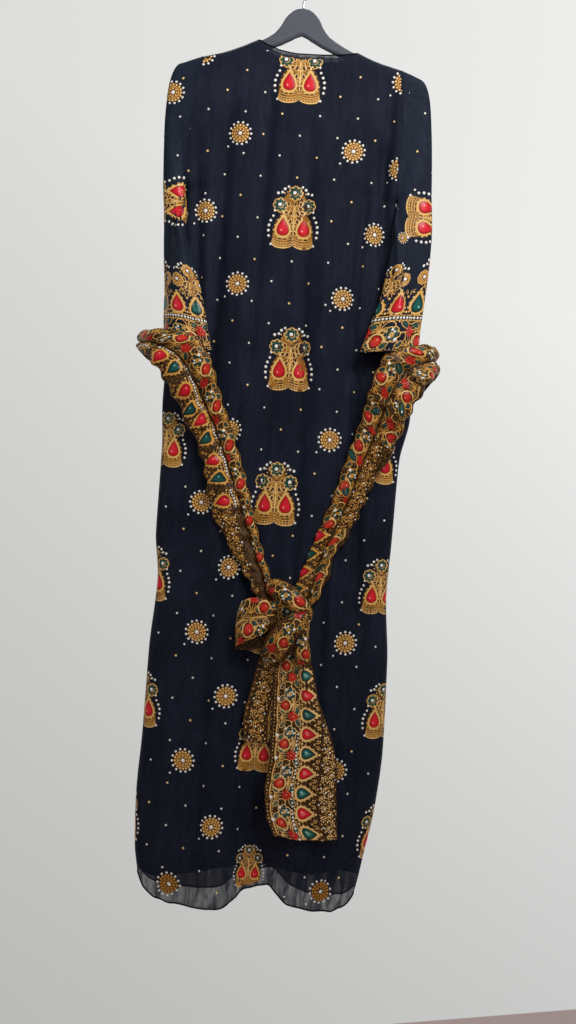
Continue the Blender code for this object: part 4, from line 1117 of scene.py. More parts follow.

# %% [markdown]
# A loose knot in a soft band is a few rolls of gathered cloth that pass over each other. One crosses
# from the left arm to the right. Another comes down under it, spreads in slanting pleats and runs into
# the tails. On the left a short loop stands out. A simulation would tie it differently each time, so
# each roll is swept along a given path.

# %% Rolls of the knot
def roll_grid(path, wide, deep, pleats, pleat_depth, rows=44, cols=44):
    """A soft roll along a path, with pleats along its face."""
    line = refine(np.array(path, dtype=float), rows)
    share = np.linspace(0, 1, rows)
    wide = smooth(np.linspace(0, 1, len(wide)), wide, share)
    deep = smooth(np.linspace(0, 1, len(deep)), deep, share)
    tangent = unit(np.gradient(line, axis=0))
    sideways = unit(np.cross(tangent, FORWARD))
    out = unit(np.cross(sideways, tangent))
    out = out * np.sign(np.sum(out * FORWARD, axis=-1, keepdims=True))
    end = np.sqrt(np.clip(1 - np.abs(2 * share - 1) ** 9, 0.0004, 1))
    angle = np.linspace(0, 2 * math.pi, cols, endpoint=False)
    c = np.sign(np.cos(angle)) * np.abs(np.cos(angle)) ** 0.85
    s = np.sign(np.sin(angle)) * np.abs(np.sin(angle)) ** 0.85
    fold = 1 + pleat_depth * np.cos(pleats * angle[None, :] + 2.2 * share[:, None])
    side_part = sideways[:, None] * (wide * end)[:, None, None] * (c * fold)[..., None]
    out_part = out[:, None] * (deep * end)[:, None, None] * (s * fold)[..., None]
    return line[:, None] + side_part + out_part


# For each roll: path in x, y and drop, half widths, half depths, pleats and their depth.
KNOT_ROLLS = {
    "knot_wrap": (
        [(2, -44, 984), (18, -56, 982), (38, -66, 992), (58, -66, 1008), (70, -56, 1022), (72, -46, 1034)],
        [11, 15, 17, 15, 11, 8], [7, 10, 12, 12, 9, 6], 9, 0.08,
    ),
    "knot_middle": (
        [(68, -56, 1014), (58, -66, 1030), (44, -69, 1048), (30, -66, 1068), (20, -58, 1088),
         (16, -50, 1104)],
        [9, 15, 20, 23, 22, 18], [8, 11, 13, 12, 9, 5], 13, 0.10,
    ),
    "knot_side": (
        [(70, -50, 1022), (68, -58, 1040), (66, -61, 1062), (68, -58, 1086), (72, -53, 1106)],
        [6, 8, 10, 12, 12], [6, 9, 10, 8, 5], 7, 0.08,
    ),
}
KNOT_WALL = 0.8
ROLL_GRIDS = {name: roll_grid(*spec) for name, spec in KNOT_ROLLS.items()}
for name, grid in ROLL_GRIDS.items():
    outward = grid - grid.mean(axis=1, keepdims=True)
    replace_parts(cloth(name, grid, GROUND, outward, around=True, wall=KNOT_WALL), "sash_knot")
print("knot of", len(ROLL_GRIDS), "rolls")

# %% Loop of the knot
LOOP = ("x", "y", "top", "foot"), (
    (22, -58, 1008, 1046), (6, -72, 1002, 1056), (-10, -79, 999, 1064), (-26, -77, 1000, 1072),
    (-38, -69, 1008, 1080), (-42, -60, 1020, 1086), (-35, -52, 1028, 1088), (-20, -49, 1034, 1088),
    (-6, -50, 1040, 1084), (10, -52, 1044, 1076),
)


def loop_grid(rows=32, cols=90):
    keys = np.arange(len(LOOP[1]))
    at = np.linspace(0, len(keys) - 1, cols)
    x, y, top, foot = (smooth(keys, column(LOOP, name), at) for name in ("x", "y", "top", "foot"))
    share = np.linspace(0, 1, rows)[:, None]
    drop = top + (foot - top) * share
    near_knot = np.clip((x + 40) / 50, 0, 1)
    gathers = 2.4 * near_knot * np.sin(share * 17 + 0.8) + 1.2 * np.sin(share * 7 + at * 0.9)
    belly = 3.0 * np.sin(math.pi * share) * (1 - near_knot)
    out = np.where(np.arange(cols) < cols * 0.5, -1.0, 1.0)
    rolls = (two_rolls(share, 0.56 - 0.12 * near_knot, 7.0) - 5.0) * np.clip(1.6 - at / 4, 0, 1)
    return np.stack([x - belly, y + out * (gathers * 0.6 + rolls), drop], axis=-1)


LOOP_GRID = loop_grid()
loop_facing = grid_normals(LOOP_GRID, LOOP_GRID - LOOP_GRID.mean(axis=(0, 1)))
loop = cloth("knot_loop", LOOP_GRID, GROUND, loop_facing, wall=SASH_CLOTH_WALL)
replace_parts(loop, "sash_loop")
print("loop stands out", round(-LOOP_GRID[..., 0].min()), "mm to the left")

# %% [markdown]
# The print is made of a few traditional jewellers' shapes that come back many times: a pearl, a
# pear-cut stone in a beaded setting, a small flower, a scroll of gold wire. Each is drawn once as a low
# relief on a flat sheet, and laid on the cloth wherever the print has it. For that the cloth is read as
# a map: so far along, so far across, and its normal.

# %% A cloth as a map
class Lie:
    """A cloth as a map: distance down it and across it, in millimetres."""

    def __init__(self, grid, outward, down=None, zero=None, keep=None, step=2.5, edge=0.6, facing=-1):
        normal, across = grid_normals(grid, outward), run_length(grid, 1)
        zero = grid.shape[1] // 2 if zero is None else zero
        if np.ndim(zero) == 0:
            at_zero = across[:, zero]
        else:
            at_zero = np.array([np.interp(0.0, places, row) for places, row in zip(zero, across)])
        across = across - at_zero[:, None]
        self.down = run_length(grid, 0).mean(axis=1) if down is None else down
        self.low, self.step, self.facing = float(across.min()), step, facing
        places = np.arange(self.low, across.max() + step, step)
        self.points, self.normals = (
            np.array([[np.interp(places, row, part) for part in line.T] for row, line in zip(across, of)])
            .swapaxes(1, 2) for of in (grid, normal)
        )
        self.inside = (places > across[:, :1] + edge) & (places < across[:, -1:] - edge)
        if keep is not None:
            self.inside &= keep(self.points)

    def lay(self, along, across, height):
        """Points at a height over the cloth, and whether each is on it."""
        r = np.interp(along, self.down, np.arange(len(self.down)))
        c = (across - self.low) / self.step
        r0 = np.clip(np.floor(r).astype(int), 0, len(self.down) - 2)
        c0 = np.clip(np.floor(c).astype(int), 0, self.points.shape[1] - 2)
        fr = (r - r0)[:, None]
        fc = np.clip(c - c0, 0, 1)[:, None]

        def blend(of):
            top = of[r0, c0] * (1 - fc) + of[r0, c0 + 1] * fc
            low = of[r0 + 1, c0] * (1 - fc) + of[r0 + 1, c0 + 1] * fc
            return top * (1 - fr) + low * fr

        near = self.inside[r0, c0] & self.inside[r0 + 1, c0] & self.inside[r0, c0 + 1]
        near &= self.inside[r0 + 1, c0 + 1] & (along >= self.down[0]) & (along <= self.down[-1])
        near &= (c >= 0) & (c <= self.points.shape[1] - 1)
        normal = unit(blend(self.normals))
        return blend(self.points) + normal * height[:, None], normal, near

    def place(self, x, drop):
        """Distances of the seen place nearest to an x and a drop."""
        gap = (self.points[..., 0] - x) ** 2 + (self.points[..., 2] - drop) ** 2
        gap[~self.inside | (self.normals[..., 1] * self.facing < 0.05)] = np.inf
        row, col = np.unravel_index(np.argmin(gap), gap.shape)
        return float(self.down[row]), self.low + self.step * float(col)

    def across_at(self, x, along):
        """Distance across the seen face at which it reaches an x."""
        row = int(np.argmin(np.abs(self.down - along)))
        seen = self.inside[row] & (self.normals[row, :, 1] * self.facing > 0)
        places = (self.low + self.step * np.arange(self.points.shape[1]))[seen]
        line = self.points[row, seen, 0]
        order = np.argsort(line)
        held = np.clip(x, line.min(), line.max())
        way = 1 if np.sum(np.diff(line)) > 0 else -1
        return float(np.interp(held, line[order], places[order]) + way * (x - held))


print("a map has a place each 2.5 mm")

# %% [markdown]
# A flat shape is a set of points with an x, a y, a height and a tone, its faces, and a colour for each
# face. Stones, petals and beads are outlines that rise in steps to a crown, and gold lines are ridges,
# so the whole print is built of a few forms.

# %% Low relief shapes
LOW = 0.16


def raised(outline, centre, levels, colour):
    """An outline that rises in steps: share of the outline, height, tone."""
    outline = np.array(outline, dtype=float)
    centre = np.array(centre, dtype=float)
    rings = []
    for share, height, tone in levels:
        flat = centre + (outline - centre) * share
        rings.append(np.column_stack([flat, np.full(len(flat), height), np.full(len(flat), tone)]))
    sides = len(outline)
    top = levels[-1]
    points = np.concatenate(rings + [[[*centre, top[1] + 0.05, min(1.0, top[2] + 0.1)]]])
    faces = []
    for ring in range(len(rings) - 1):
        for i in range(sides):
            a, b = ring * sides + i, ring * sides + (i + 1) % sides
            faces += [(a, b, b + sides), (a, b + sides, a + sides)]
    last = (len(rings) - 1) * sides
    faces += [(last + i, last + (i + 1) % sides, len(points) - 1) for i in range(sides)]
    return points, np.array(faces), np.full(len(faces), colour)


def base(outline, centre, colour, tone=0.1, height=LOW * 0.6):
    levels = [(share, height, tone * (share < 1)) for share in (1.0, 0.92, 0.7, 0.48, 0.24)]
    return raised(outline, centre, levels, colour)


def wire(line, width, height=0.45, tone=0.85, closed=False, rim=0.12):
    """A ridge of gold wire, thinner at its open ends."""
    line = np.array(line, dtype=float)
    count = len(line)
    if closed:
        run, taper = np.roll(line, -1, axis=0) - np.roll(line, 1, axis=0), np.ones(count)
    else:
        run, from_end = np.gradient(line, axis=0), np.minimum(np.arange(count), np.arange(count)[::-1])
        taper = np.minimum(1.0, 0.45 + from_end * 0.4)
    side = unit(np.stack([-run[:, 1], run[:, 0]], axis=-1)) * (width / 2 * taper)[:, None]
    points = np.concatenate([
        np.column_stack([line + shift, np.full(count, z), np.full(count, shade)])
        for shift, z, shade in ((-side, LOW, rim), (0.0, height, tone), (side, LOW, rim))
    ])
    faces = []
    for i in range(count if closed else count - 1):
        j = (i + 1) % count
        for row in (0, count):
            faces += [(i + row, j + row, j + row + count), (i + row, j + row + count, i + row + count)]
    return points, np.array(faces), np.full(len(faces), GOLD)


print("shapes start", LOW, "mm over the cloth")

# %% Moving and joining shapes
def gather(*shapes):
    points, faces, colours, start = [], [], [], 0
    for p, f, c in shapes:
        points.append(p)
        faces.append(f + start)
        colours.append(c)
        start += len(p)
    return np.concatenate(points), np.concatenate(faces), np.concatenate(colours)


def moved(shape, x=0.0, y=0.0, turn=0.0, scale=1.0, mirror=False):
    """A shape moved, turned by degrees, scaled or mirrored."""
    points, faces, colours = shape
    flat = points[:, :2] * scale * (np.array([-1.0, 1.0]) if mirror else 1.0)
    c, s = math.cos(math.radians(turn)), math.sin(math.radians(turn))
    out = points.copy()
    out[:, 0] = x + flat[:, 0] * c - flat[:, 1] * s
    out[:, 1] = y + flat[:, 0] * s + flat[:, 1] * c
    return out, faces[:, ::-1] if mirror else faces, colours


def around(shape, count, radius):
    angles = [2 * math.pi * k / count for k in range(count)]
    return [moved(shape, radius * math.cos(angle), radius * math.sin(angle)) for angle in angles]


def circle(radius, sides, squash=1.0):
    angle = np.arange(sides) * 2 * math.pi / sides
    return np.stack([radius * np.cos(angle), radius * squash * np.sin(angle)], axis=-1)


print("six points:", circle(1.0, 6).round(2).tolist())

# %% Pearls, beads and stones
def pearl(radius, sides=7):
    """A pearl, lit from the upper left."""
    return raised(
        circle(radius, sides), (-radius * 0.12, -radius * 0.14),
        [(1.0, LOW, 0.0), (0.72, 0.66, 0.62), (0.3, 0.8, 0.9)], PEARL,
    )


def bead(radius, sides=6, colour=GOLD, tone=0.85):
    return raised(circle(radius, sides), (0, 0), [(1.0, LOW, 0.08), (0.5, 0.5, tone)], colour)


def pear_outline(wide, tall, sides=16):
    """A pear-cut stone's outline, point up. y runs down the cloth."""
    angle = np.arange(sides) * 2 * math.pi / sides
    x = np.sin(angle) * np.sin(angle / 2) ** 1.35 * wide / 1.45
    y = -np.cos(angle) * tall / 2
    x = x * (wide / 2) / np.abs(x).max()
    return np.stack([x, y], axis=-1)


def catch_light(x, y, size, colour):
    glint = raised(circle(size, 6, 1.2), (0, 0), [(1.0, 0.86, 0.82), (0.6, 0.9, 1.0)], colour)
    return moved(glint, x, y)


def pear_stone(wide, tall, colour, beads=16, setting=1.46):
    """A pear-cut stone in a broad gold ring with beads round it."""
    outline, middle = pear_outline(wide, tall), (0.0, tall * 0.12)
    reach = outline - middle
    shapes = [
        base(middle + reach * (setting + 0.17), middle, GOLD, 0.06, LOW),
        wire(middle + reach * (1 + setting * 0.94) / 2, wide * (setting - 1) * 0.62, 0.56, 0.9, True, 0.22),
        raised(outline, middle, [(1.0, 0.3, 0.0), (0.8, 0.66, 0.42), (0.42, 0.84, 0.7)], colour),
        catch_light(-wide * 0.13, tall * 0.2, wide * 0.08, colour),
    ]
    for k, (x, y) in enumerate(refine(middle + reach * setting, beads, closed=True)):
        shapes.append(moved(bead(wide * 0.085, 5, tone=0.75 + 0.25 * (k % 2)), x, y))
    return gather(*shapes)


def round_stone(radius, colour, sides=12):
    levels = [(1.0, 0.25, 0.0), (0.8, 0.6, 0.42), (0.4, 0.78, 0.68)]
    glint = catch_light(-radius * 0.3, -radius * 0.3, radius * 0.17, colour)
    return gather(raised(circle(radius, sides), (0, 0), levels, colour), glint)


print("pear stone", len(pear_stone(20, 26, RUBY)[1]), "faces")

# %% Flowers and leaves
def flower(radius, petals, petal_colour, heart=True):
    shapes = [raised(circle(radius * 1.02, 14), (0, 0), [(1.0, LOW, 0.0), (0.85, 0.18, 0.1)], UMBER)]
    size = radius * 1.05 * math.sin(math.pi / petals)
    outline = wire(circle(size, 7), radius * 0.17, 0.46, 0.95, closed=True, rim=0.3)
    petal = raised(circle(size * 0.8, 6), (0, 0), [(1.0, 0.2, 0.1), (0.5, 0.46, 0.5)], petal_colour)
    shapes += around(gather(outline, petal), petals, radius * 0.62)
    if heart:
        ground = raised(circle(radius * 0.42, 9), (0, 0), [(1.0, 0.5, 0.1), (0.8, 0.6, 0.2)], petal_colour)
        shapes.append(moved(gather(ground, pearl(radius * 0.35, 8)), -radius * 0.08, -radius * 0.06))
    return gather(*shapes)


def rosette(radius, petals):
    ground = raised(circle(radius, 12), (0, 0), [(1.0, LOW, 0.05), (0.85, 0.2, 0.2)], UMBER)
    return gather(ground, *around(bead(radius * 0.3, 5), petals, radius * 0.68), bead(radius * 0.3, 6))


def leaf(long, wide, colour=LEAF, sides=10):
    angle = np.arange(sides) * 2 * math.pi / sides
    x = long / 2 * np.cos(angle)
    y = wide / 2 * np.sin(angle) * np.abs(np.sin(angle)) ** 0.3
    return raised(np.stack([x, y], -1), (0, 0), [(1.0, LOW, 0.1), (0.55, 0.42, 0.55)], colour)


print("flower", len(flower(12.0, 8, EMERALD)[1]), "faces")

# %% Scrolls and sprays
def scroll(x0, y0, start, turn, long, count=9):
    """A line that curls, from a point, a heading, a total turn and a length."""
    headings = np.radians(start + turn * np.linspace(0, 1, count) ** 1.6)
    steps = np.stack([np.cos(headings), np.sin(headings)], -1) * long / count
    return np.concatenate([[[x0, y0]], np.array([x0, y0]) + np.cumsum(steps, axis=0)])


def spray(long, blades, spread, width):
    shapes = []
    for k in range(blades):
        lean = (k / (blades - 1) - 0.5) * 2
        reach = long * (1 - 0.28 * abs(lean))
        shapes.append(wire(scroll(0, 0, -90 + lean * spread * 0.45, lean * spread * 0.75, reach, 6), width))
    return gather(*shapes)


print("spray", len(spray(18, 7, 120, 2.2)[1]), "faces")

# %% [markdown]
# The large figure of the print is an old one on festive cloth: two pear stones on a scalloped gold
# foot, with a tree of scrolls and flowers growing between them and a spray of pearls round it. It is
# drawn here afresh, even on both sides, and no line of it is traced.

# %% Two stones on a foot
def stones_on_foot():
    half = [(2, 46.5), (14, 50.5), (27, 50), (36, 44), (35.5, 34), (35, 18), (30, 2), (19, -12), (8, -6)]
    outline = half + [(0, -10)] + [(-x, y) for x, y in half[::-1]] + [(0, 45.5)]
    shapes = [base(outline, (0, 18), GOLD, 0.3)]
    lobe = np.array([(1, 46), (7, 48.5), (14, 50), (21, 50), (28, 49), (33, 46.5), (35.5, 43)])
    # Ribs of a lobe: rise, width, tone at the crown and at the rim.
    ribs = ((0, 2.6, 1.0, 0.45), (4.2, 2.4, 0.85, 0.1), (8.4, 2.4, 0.85, 0.1), (12.6, 2.4, 0.8, 0.1),
            (16.8, 2.4, 0.8, 0.1))
    for side in (-1, 1):
        for rise, width, tone, rim in ribs:
            line = lobe * (side * (1 - rise * 0.004), 1) - (0, rise)
            shapes.append(wire(line, width, 0.46, tone, rim=rim))
        for x, y in refine(lobe, 9):
            shapes.append(moved(bead(1.5, 5), side * x * 0.98, y - 2.1))
            shapes.append(moved(bead(1.3, 5), side * x * 0.95, y - 6.3))
        shapes.append(moved(pear_stone(21, 31, RUBY), side * 17.7, 14))
        shapes.append(moved(bead(2.4, 6), side * 17.7, -10.5))
        shapes.append(moved(pearl(2.4, 6), side * 36.5, 45))
    shapes += [moved(bead(1.9, 6), 0, y) for y in (4, 11, 18, 26, 34)]
    return gather(*shapes)


FOOT = stones_on_foot()
print("stones and foot", len(FOOT[1]), "faces")

# %% Tree of scrolls
TREE_GROUND = (
    (-14, 2), (-25, -8), (-23, -30), (-10, -49), (0, -53), (10, -49), (23, -30), (25, -8), (14, 2),
    (5, 10), (-5, 10),
)
TREE_STEM = ((0, 30), (0, 16), (0.5, 4), (0, -8), (-0.4, -18), (0, -30))
# Scrolls: start, heading, turn and length. Leaves: place, turn and length.
TREE_SCROLLS = (
    (0, 18, -60, -150, 16), (0, 8, -50, -140, 20), (0, -2, -35, -120, 24), (0, -10, -70, -170, 22),
    (11, 0, -60, 190, 18), (6, -32, -100, 140, 18),
)
TREE_LEAVES = ((6, -9, 70, 9), (10.5, -25, 100, 8), (6, 5, 80, 8), (14, -10, 20, 8))
TREE_BEADS = ((9, -40), (13, -45), (16, -37), (18, -43))
TREE_FLOWERS = ((0, -43), (-24, -22), (24, -22))
# Pearls: place and radius, over the tree and down its sides.
TREE_PEARLS = ((12, -54, 2.4), (18, -50, 2.8), (22, -44, 2.6), (29, -42, 2.8))
SPRAY_PEARLS = ((33, -12, 2.3), (35, -3, 2.5), (39, 5, 2.7), (41.5, 13, 2.8), (42, 22, 2.8), (41, 31, 2.6))


def tree_of_scrolls(petal, pearls):
    shapes = [base(TREE_GROUND, (0, -18), GOLD, 0.3), wire(TREE_STEM, 3.2, 0.5, 0.95, rim=0.3)]
    for side in (-1, 1):
        for x, y, start, turn, long in TREE_SCROLLS:
            line = scroll(0, 0, start, turn, long, 8)
            line[:, 0] = side * (x + line[:, 0])
            line[:, 1] = y + line[:, 1]
            shapes.append(wire(line, 2.1, 0.44, 0.98, rim=0.2))
        for x, y, turn, long in TREE_LEAVES:
            outline = wire(circle(long * 0.56, 8, 0.66), 1.7, 0.44, 0.98, closed=True, rim=0.3)
            shapes.append(moved(gather(leaf(long, long * 0.6, UMBER, 8), outline), side * x, y, side * turn))
        shapes += [moved(bead(1.8, 5), side * x, y) for x, y in TREE_BEADS]
    shapes.append(moved(leaf(8, 5, UMBER, 8), 0, -24, 90))
    shapes += [moved(flower(12.2, 8, petal), x, y) for x, y in TREE_FLOWERS]
    shapes += [moved(pearl(size, 6), side * x, y) for x, y, size in pearls for side in (1, -1)]
    return gather(*shapes)


FIGURE = gather(FOOT, tree_of_scrolls(EMERALD, TREE_PEARLS + SPRAY_PEARLS))
print("figure", len(FIGURE[1]), "faces,", round(np.ptp(FIGURE[0][:, 1])), "mm tall")

# %% Pearl medallion and dots
def pearl_medallion():
    return gather(
        base(circle(16, 16), (0, 0), GOLD, 0.22),
        *around(pearl(2.3, 6), 14, 18.8), *around(bead(2.6, 6), 16, 13.9),
        wire(circle(10.2, 16), 2.0, 0.42, 0.9, closed=True, rim=0.2),
        *around(bead(2.3, 5), 8, 6.9), pearl(3.6, 8),
    )


MEDALLION = pearl_medallion()
DOT = raised(circle(2.1, 6), (0, 0), [(1.0, LOW, 0.6), (0.6, 0.4, 0.95)], GOLD)
PALE_DOT = raised(circle(2.0, 6), (0, 0), [(1.0, LOW, 0.1), (0.6, 0.4, 0.6)], PEARL)
print("medallion", len(MEDALLION[1]), "faces")

# %% [markdown]
# The border of the print runs round both cuffs and fills the sash. From its scalloped edge inward it
# has flowers with coral stones, a chain of pearls, a row of pear stones, red and green in turn, and
# gold rosettes. It repeats every 66 mm, as a printing block would, so one repeat is drawn and laid
# again and again.

# %% Scalloped edge and flower strip
PERIOD = 66.0


def repeat():
    """An empty repeat, and a way to put shapes in: x along the border, y inward from its edge."""
    shapes = []

    def put(shape, x, y, turn=0.0, **kw):
        shapes.append(moved(shape, x, -y, turn, **kw))

    return shapes, put


def flower_strip():
    shapes, put = repeat()
    for k in range(2):
        angle = np.radians(np.linspace(8, 172, 10))
        arc = np.stack([16.5 + 33 * k + 16.2 * np.cos(angle), -3.5 + 3.4 * np.sin(angle) ** 0.8], -1)
        shapes.append(wire(arc, 2.8, 0.5, 0.98, rim=0.3))
        shapes += [moved(bead(1.3, 5), x, y - 3.2) for x, y in arc[1:-1]]
    put(base(circle(12.5, 12), (0, 0), UMBER, 0.1), 15, 24)
    put(flower(10.5, 6, LEAF, heart=False), 15, 24)
    for x, y in ((12, 28), (18, 20), (15.5, 30.5)):
        put(pearl(2.2, 6), x, y)
    put(pearl(3.0, 7), 9.5, 16.5)
    # Coral stone in an open ring, and coral beads.
    angle = np.radians(np.linspace(-190, 70, 13))
    put(base(circle(13, 12), (0, 0), UMBER, 0.1), 35, 15)
    arc = np.stack([35 + 11 * np.cos(angle), -15 + 11 * np.sin(angle)], -1)
    shapes.append(wire(arc, 3.4, 0.6, 1.0, rim=0.35))
    put(round_stone(8.6, CORAL), 35, 15)
    put(base(circle(10.5, 12), (0, 0), UMBER, 0.1), 53, 29)
    for k in range(6):
        put(bead(3.9, 6, CORAL, 0.55), 53 + 5.6 * math.cos(k * 1.047), 29 + 5.6 * math.sin(k * 1.047))
    put(bead(3.2, 6, CORAL, 0.75), 53, 29)
    # Sprays, leaves, blades, scrolls and loose beads.
    put(spray(18, 7, 120, 2.2), 33, 27)
    put(spray(14, 6, 110, 2.0), 57, 6)
    for x, y, turn, long in (
        (43, 37, 20, 17), (64, 38, -35, 15), (24, 9, 50, 14), (47, 10, -50, 11), (3, 10, 40, 12),
    ):
        put(leaf(long, long * 0.52), x, y, turn)
        put(wire(circle(long * 0.54, 10, 0.56), 1.5, 0.44, 0.95, closed=True, rim=0.2), x, y, turn)
        put(wire([(-long * 0.4, 0), (0, 0.5), (long * 0.4, 0)], 1.1, 0.46, 0.8), x, y, turn)
    for k in range(4):
        put(leaf(9.5, 3.0, UMBER, 8), 41 + 4.2 * k, 19 - 0.8 * k, 80)
        put(wire([(-5, 0), (0, 0.6), (5, 0)], 1.5, 0.44, 0.95), 43 + 4.2 * k, 19 - 0.8 * k, 80)
    for x, y, start, turn, long in (
        (2, 8, -60, 150, 34), (26, 41, 200, -150, 22), (31, 4, -80, -160, 20), (44, 42, 30, -140, 22),
        (60, 43, 190, 140, 18), (63, 14, -120, 150, 20), (24, 30, -20, 130, 16),
    ):
        shapes.append(wire(scroll(x, -y, start, turn, long, 8), 2.0, 0.46, 0.98, rim=0.2))
    for x, y in ((26, 20), (41, 29), (48, 16), (62, 27), (8, 42), (30, 42), (22, 14), (2, 26)):
        put(bead(1.8, 5), x, y)
    return gather(*shapes)


FLOWER_STRIP = flower_strip()
print("flower strip", len(FLOWER_STRIP[1]), "faces")

# %% Pearl chain and row of stones
PEARL_LINE = 47.5
STONE_LINE = 68.0


def pearl_chain():
    shapes, put = repeat()
    for k in range(13):
        put(pearl(2.1, 6), 2.54 + 5.077 * k, PEARL_LINE)
    for y in (PEARL_LINE - 3.6, PEARL_LINE + 3.6):
        line = np.stack([np.linspace(0, PERIOD, 19), np.full(19, -y)], -1)
        line[:, 1] += 0.7 * np.sin(line[:, 0] * 2 * math.pi / 8.25)
        shapes.append(wire(line, 1.9, 0.42, 0.9))
    return gather(*shapes)


def stone_row():
    shapes, put = repeat()
    for k, colour in enumerate((RUBY, EMERALD)):
        put(pear_stone(19.5, 26, colour), 16.5 + 33 * k, STONE_LINE)
        for x, y, size in ((0, 56, 2.4), (0, 78, 2.4), (-6.5, 84, 2.0), (6.5, 84, 2.0), (16.5, 88, 2.2)):
            put(bead(size, 5), x + 33 * k, y)
        put(wire(scroll(0, 0, -100, 120, 12, 6), 1.8, rim=0.2), 3 + 33 * k, 80)
        put(wire(scroll(0, 0, -80, -120, 12, 6), 1.8, rim=0.2), -3 + 33 * k, 80)
    return gather(*shapes)


STONE_ROW = stone_row()
print("row of stones", len(STONE_ROW[1]), "faces")

# %% Fine gold beyond the stones
def fine_gold():
    """Rosettes, curls and beads scattered as evenly as sand."""
    shapes, put = repeat()
    chance = np.random.default_rng(12)
    for k in range(4):
        put(rosette(5.6, 6), 8 + 16.5 * k + chance.uniform(-2, 2), 100 + chance.uniform(-2, 2))
        put(rosette(5.0, 6), 1 + 16.5 * k + chance.uniform(-2, 2), 114 + chance.uniform(-2, 2))
        put(wire(scroll(0, 0, -30, -140, 13, 6), 1.7, rim=0.2), 1 + 16.5 * k, 103)
        put(wire(scroll(0, 0, -150, 140, 13, 6), 1.7, rim=0.2), 15 + 16.5 * k, 105)
    for k in range(64):
        x, y = 66 * ((k * 0.618) % 1.0), 92 + 33 * (k + 0.5) / 64
        x, y = x + chance.uniform(-1.5, 1.5), y + chance.uniform(-1.5, 1.5)
        if k % 9 == 0:
            put(pearl(1.9, 5), x, y)
        else:
            put(bead(chance.uniform(1.2, 2.3), 5, tone=chance.uniform(0.6, 1.0)), x, y)
    return gather(*shapes)


FINE_GOLD = fine_gold()
BORDER = gather(FLOWER_STRIP, pearl_chain(), STONE_ROW, FINE_GOLD)
print("border repeat", len(BORDER[1]), "faces")

# %% [markdown]
# All shapes of one cloth's print are joined to one mesh, which lies on the cloth and rides with it. A
# picture on the cloth would be lighter, but it would blur close by, and the gold would have no edge for
# the light to catch.

# %% Laying the print
class Print:
    """The shapes printed on one cloth, joined to one mesh."""

    # A piece's tones are scaled by one factor, all but the catch-lights. It is partly the sash print's own
    # more muted gold and partly painted light: the low front tail is raised to 1.15 against the lamps'
    # light, which falls off lower down.
    def __init__(self, name, muting_and_painted_light=1.0):
        self.name, self.muting_and_painted_light = name, muting_and_painted_light
        self.points, self.normals, self.tones = [], [], []
        self.faces, self.colours, self.count = [], [], 0

    def lay(self, lie, shape, along, across, turn=0.0, scale=1.0, mirror=False, keep=None, fade=1.0):
        """Lays a shape with its y down the cloth, and leaves out what falls off the edge."""
        points, faces, colours = moved(shape, 0, 0, turn, scale, mirror)
        down, over = points[:, 1] + along, points[:, 0] + across
        placed, normals, on = lie.lay(down, over, points[:, 2])
        if keep is not None:
            on = on & keep(down, over)
        whole = on[faces].all(axis=1)
        faces, colours = faces[whole], colours[whole]
        if len(faces):
            used, packed = np.unique(faces, return_inverse=True)
            self.points.append(placed[used])
            self.normals.append(normals[used])
            tones = points[used, 3] * fade
            self.tones.append(np.where(tones > 0.97, tones, tones * self.muting_and_painted_light))
            self.faces.append(packed.reshape(-1, 3) + self.count)
            self.colours.append(colours)
            self.count += len(used)

    def finish(self):
        points, faces = np.concatenate(self.points), np.concatenate(self.faces)
        world = to_world(points)
        outward = to_world(points + np.concatenate(self.normals)) - world
        a, b, c = (world[faces[:, k]] for k in range(3))
        wrong = np.sum(np.cross(b - a, c - a) * outward[faces[:, 0]], axis=1) < 0
        faces[wrong] = faces[wrong][:, ::-1]
        mesh = bpy.data.meshes.new(self.name)
        mesh.from_pydata(world.tolist(), [], faces.tolist())
        tone = mesh.attributes.new("tone", "FLOAT", "POINT")
        tone.data.foreach_set("value", np.concatenate(self.tones))
        for material in PRINT_COLOURS:
            mesh.materials.append(material)
        mesh.polygons.foreach_set("material_index", np.concatenate(self.colours).astype(np.int32))
        piece = add_piece(self.name, mesh)
        print(self.name, len(faces), "faces")
        return piece


print(len(PRINT_COLOURS), "colours to lay")

# %% [markdown]
# On the body the print is open. Figures stand one above another down the middle, with half figures at
# the side seams, pearl medallions between them, and tiny dots all over the ground. The cloth is read by
# level rows here, so that a figure stands upright however the cloth's own rows run.

# %% The body as a map
LIE_TOP, LIE_FOOT, LIE_ROWS = 62.0, 1532.0, 5.0
PRINT_BELOW_NECK, PRINT_ABOVE_HEM = 2.5, 3.0


def body_lie(body, seed):
    """A panel in level rows, with nought along the middle of the hanger."""
    drops = np.arange(LIE_TOP, LIE_FOOT, LIE_ROWS)
    shares = body.columns(FINE_SPACING, SEAM_STEPS)
    drop = np.repeat(drops[:, None], len(shares), axis=1)
    left, right = body.edges(drop)
    x = left + (right - left) * shares[None, :]
    y = body.side * (SEAM_GAP / 2 + body_depth_at(body, x, drop))
    grid = crumple(np.stack([x, y, drop], axis=-1), body.side, CREASE_DEPTH, seed)

    def on_cloth(points):
        left, right = body.edges(points[..., 2])
        share = (points[..., 0] - left) / (right - left)
        left, right = body.edges(np.full_like(share, HEM_EDGE_DROP))
        hem = read(body.hem, "x", "drop", left + (right - left) * share)
        below_neck = points[..., 2] > top_drop(points[..., 0]) + PRINT_BELOW_NECK
        return below_neck & (points[..., 2] < hem - PRINT_ABOVE_HEM)

    outward = np.array([0.0, body.side, 0.0])
    return Lie(grid, outward, down=drops, zero=x, keep=on_cloth, facing=body.side)


DOT_COLUMNS, DOT_ROWS, DOT_TOP = 32.0, 71, 78
FIGURE_CLEAR, MEDALLION_CLEAR = 60.0, 27.0
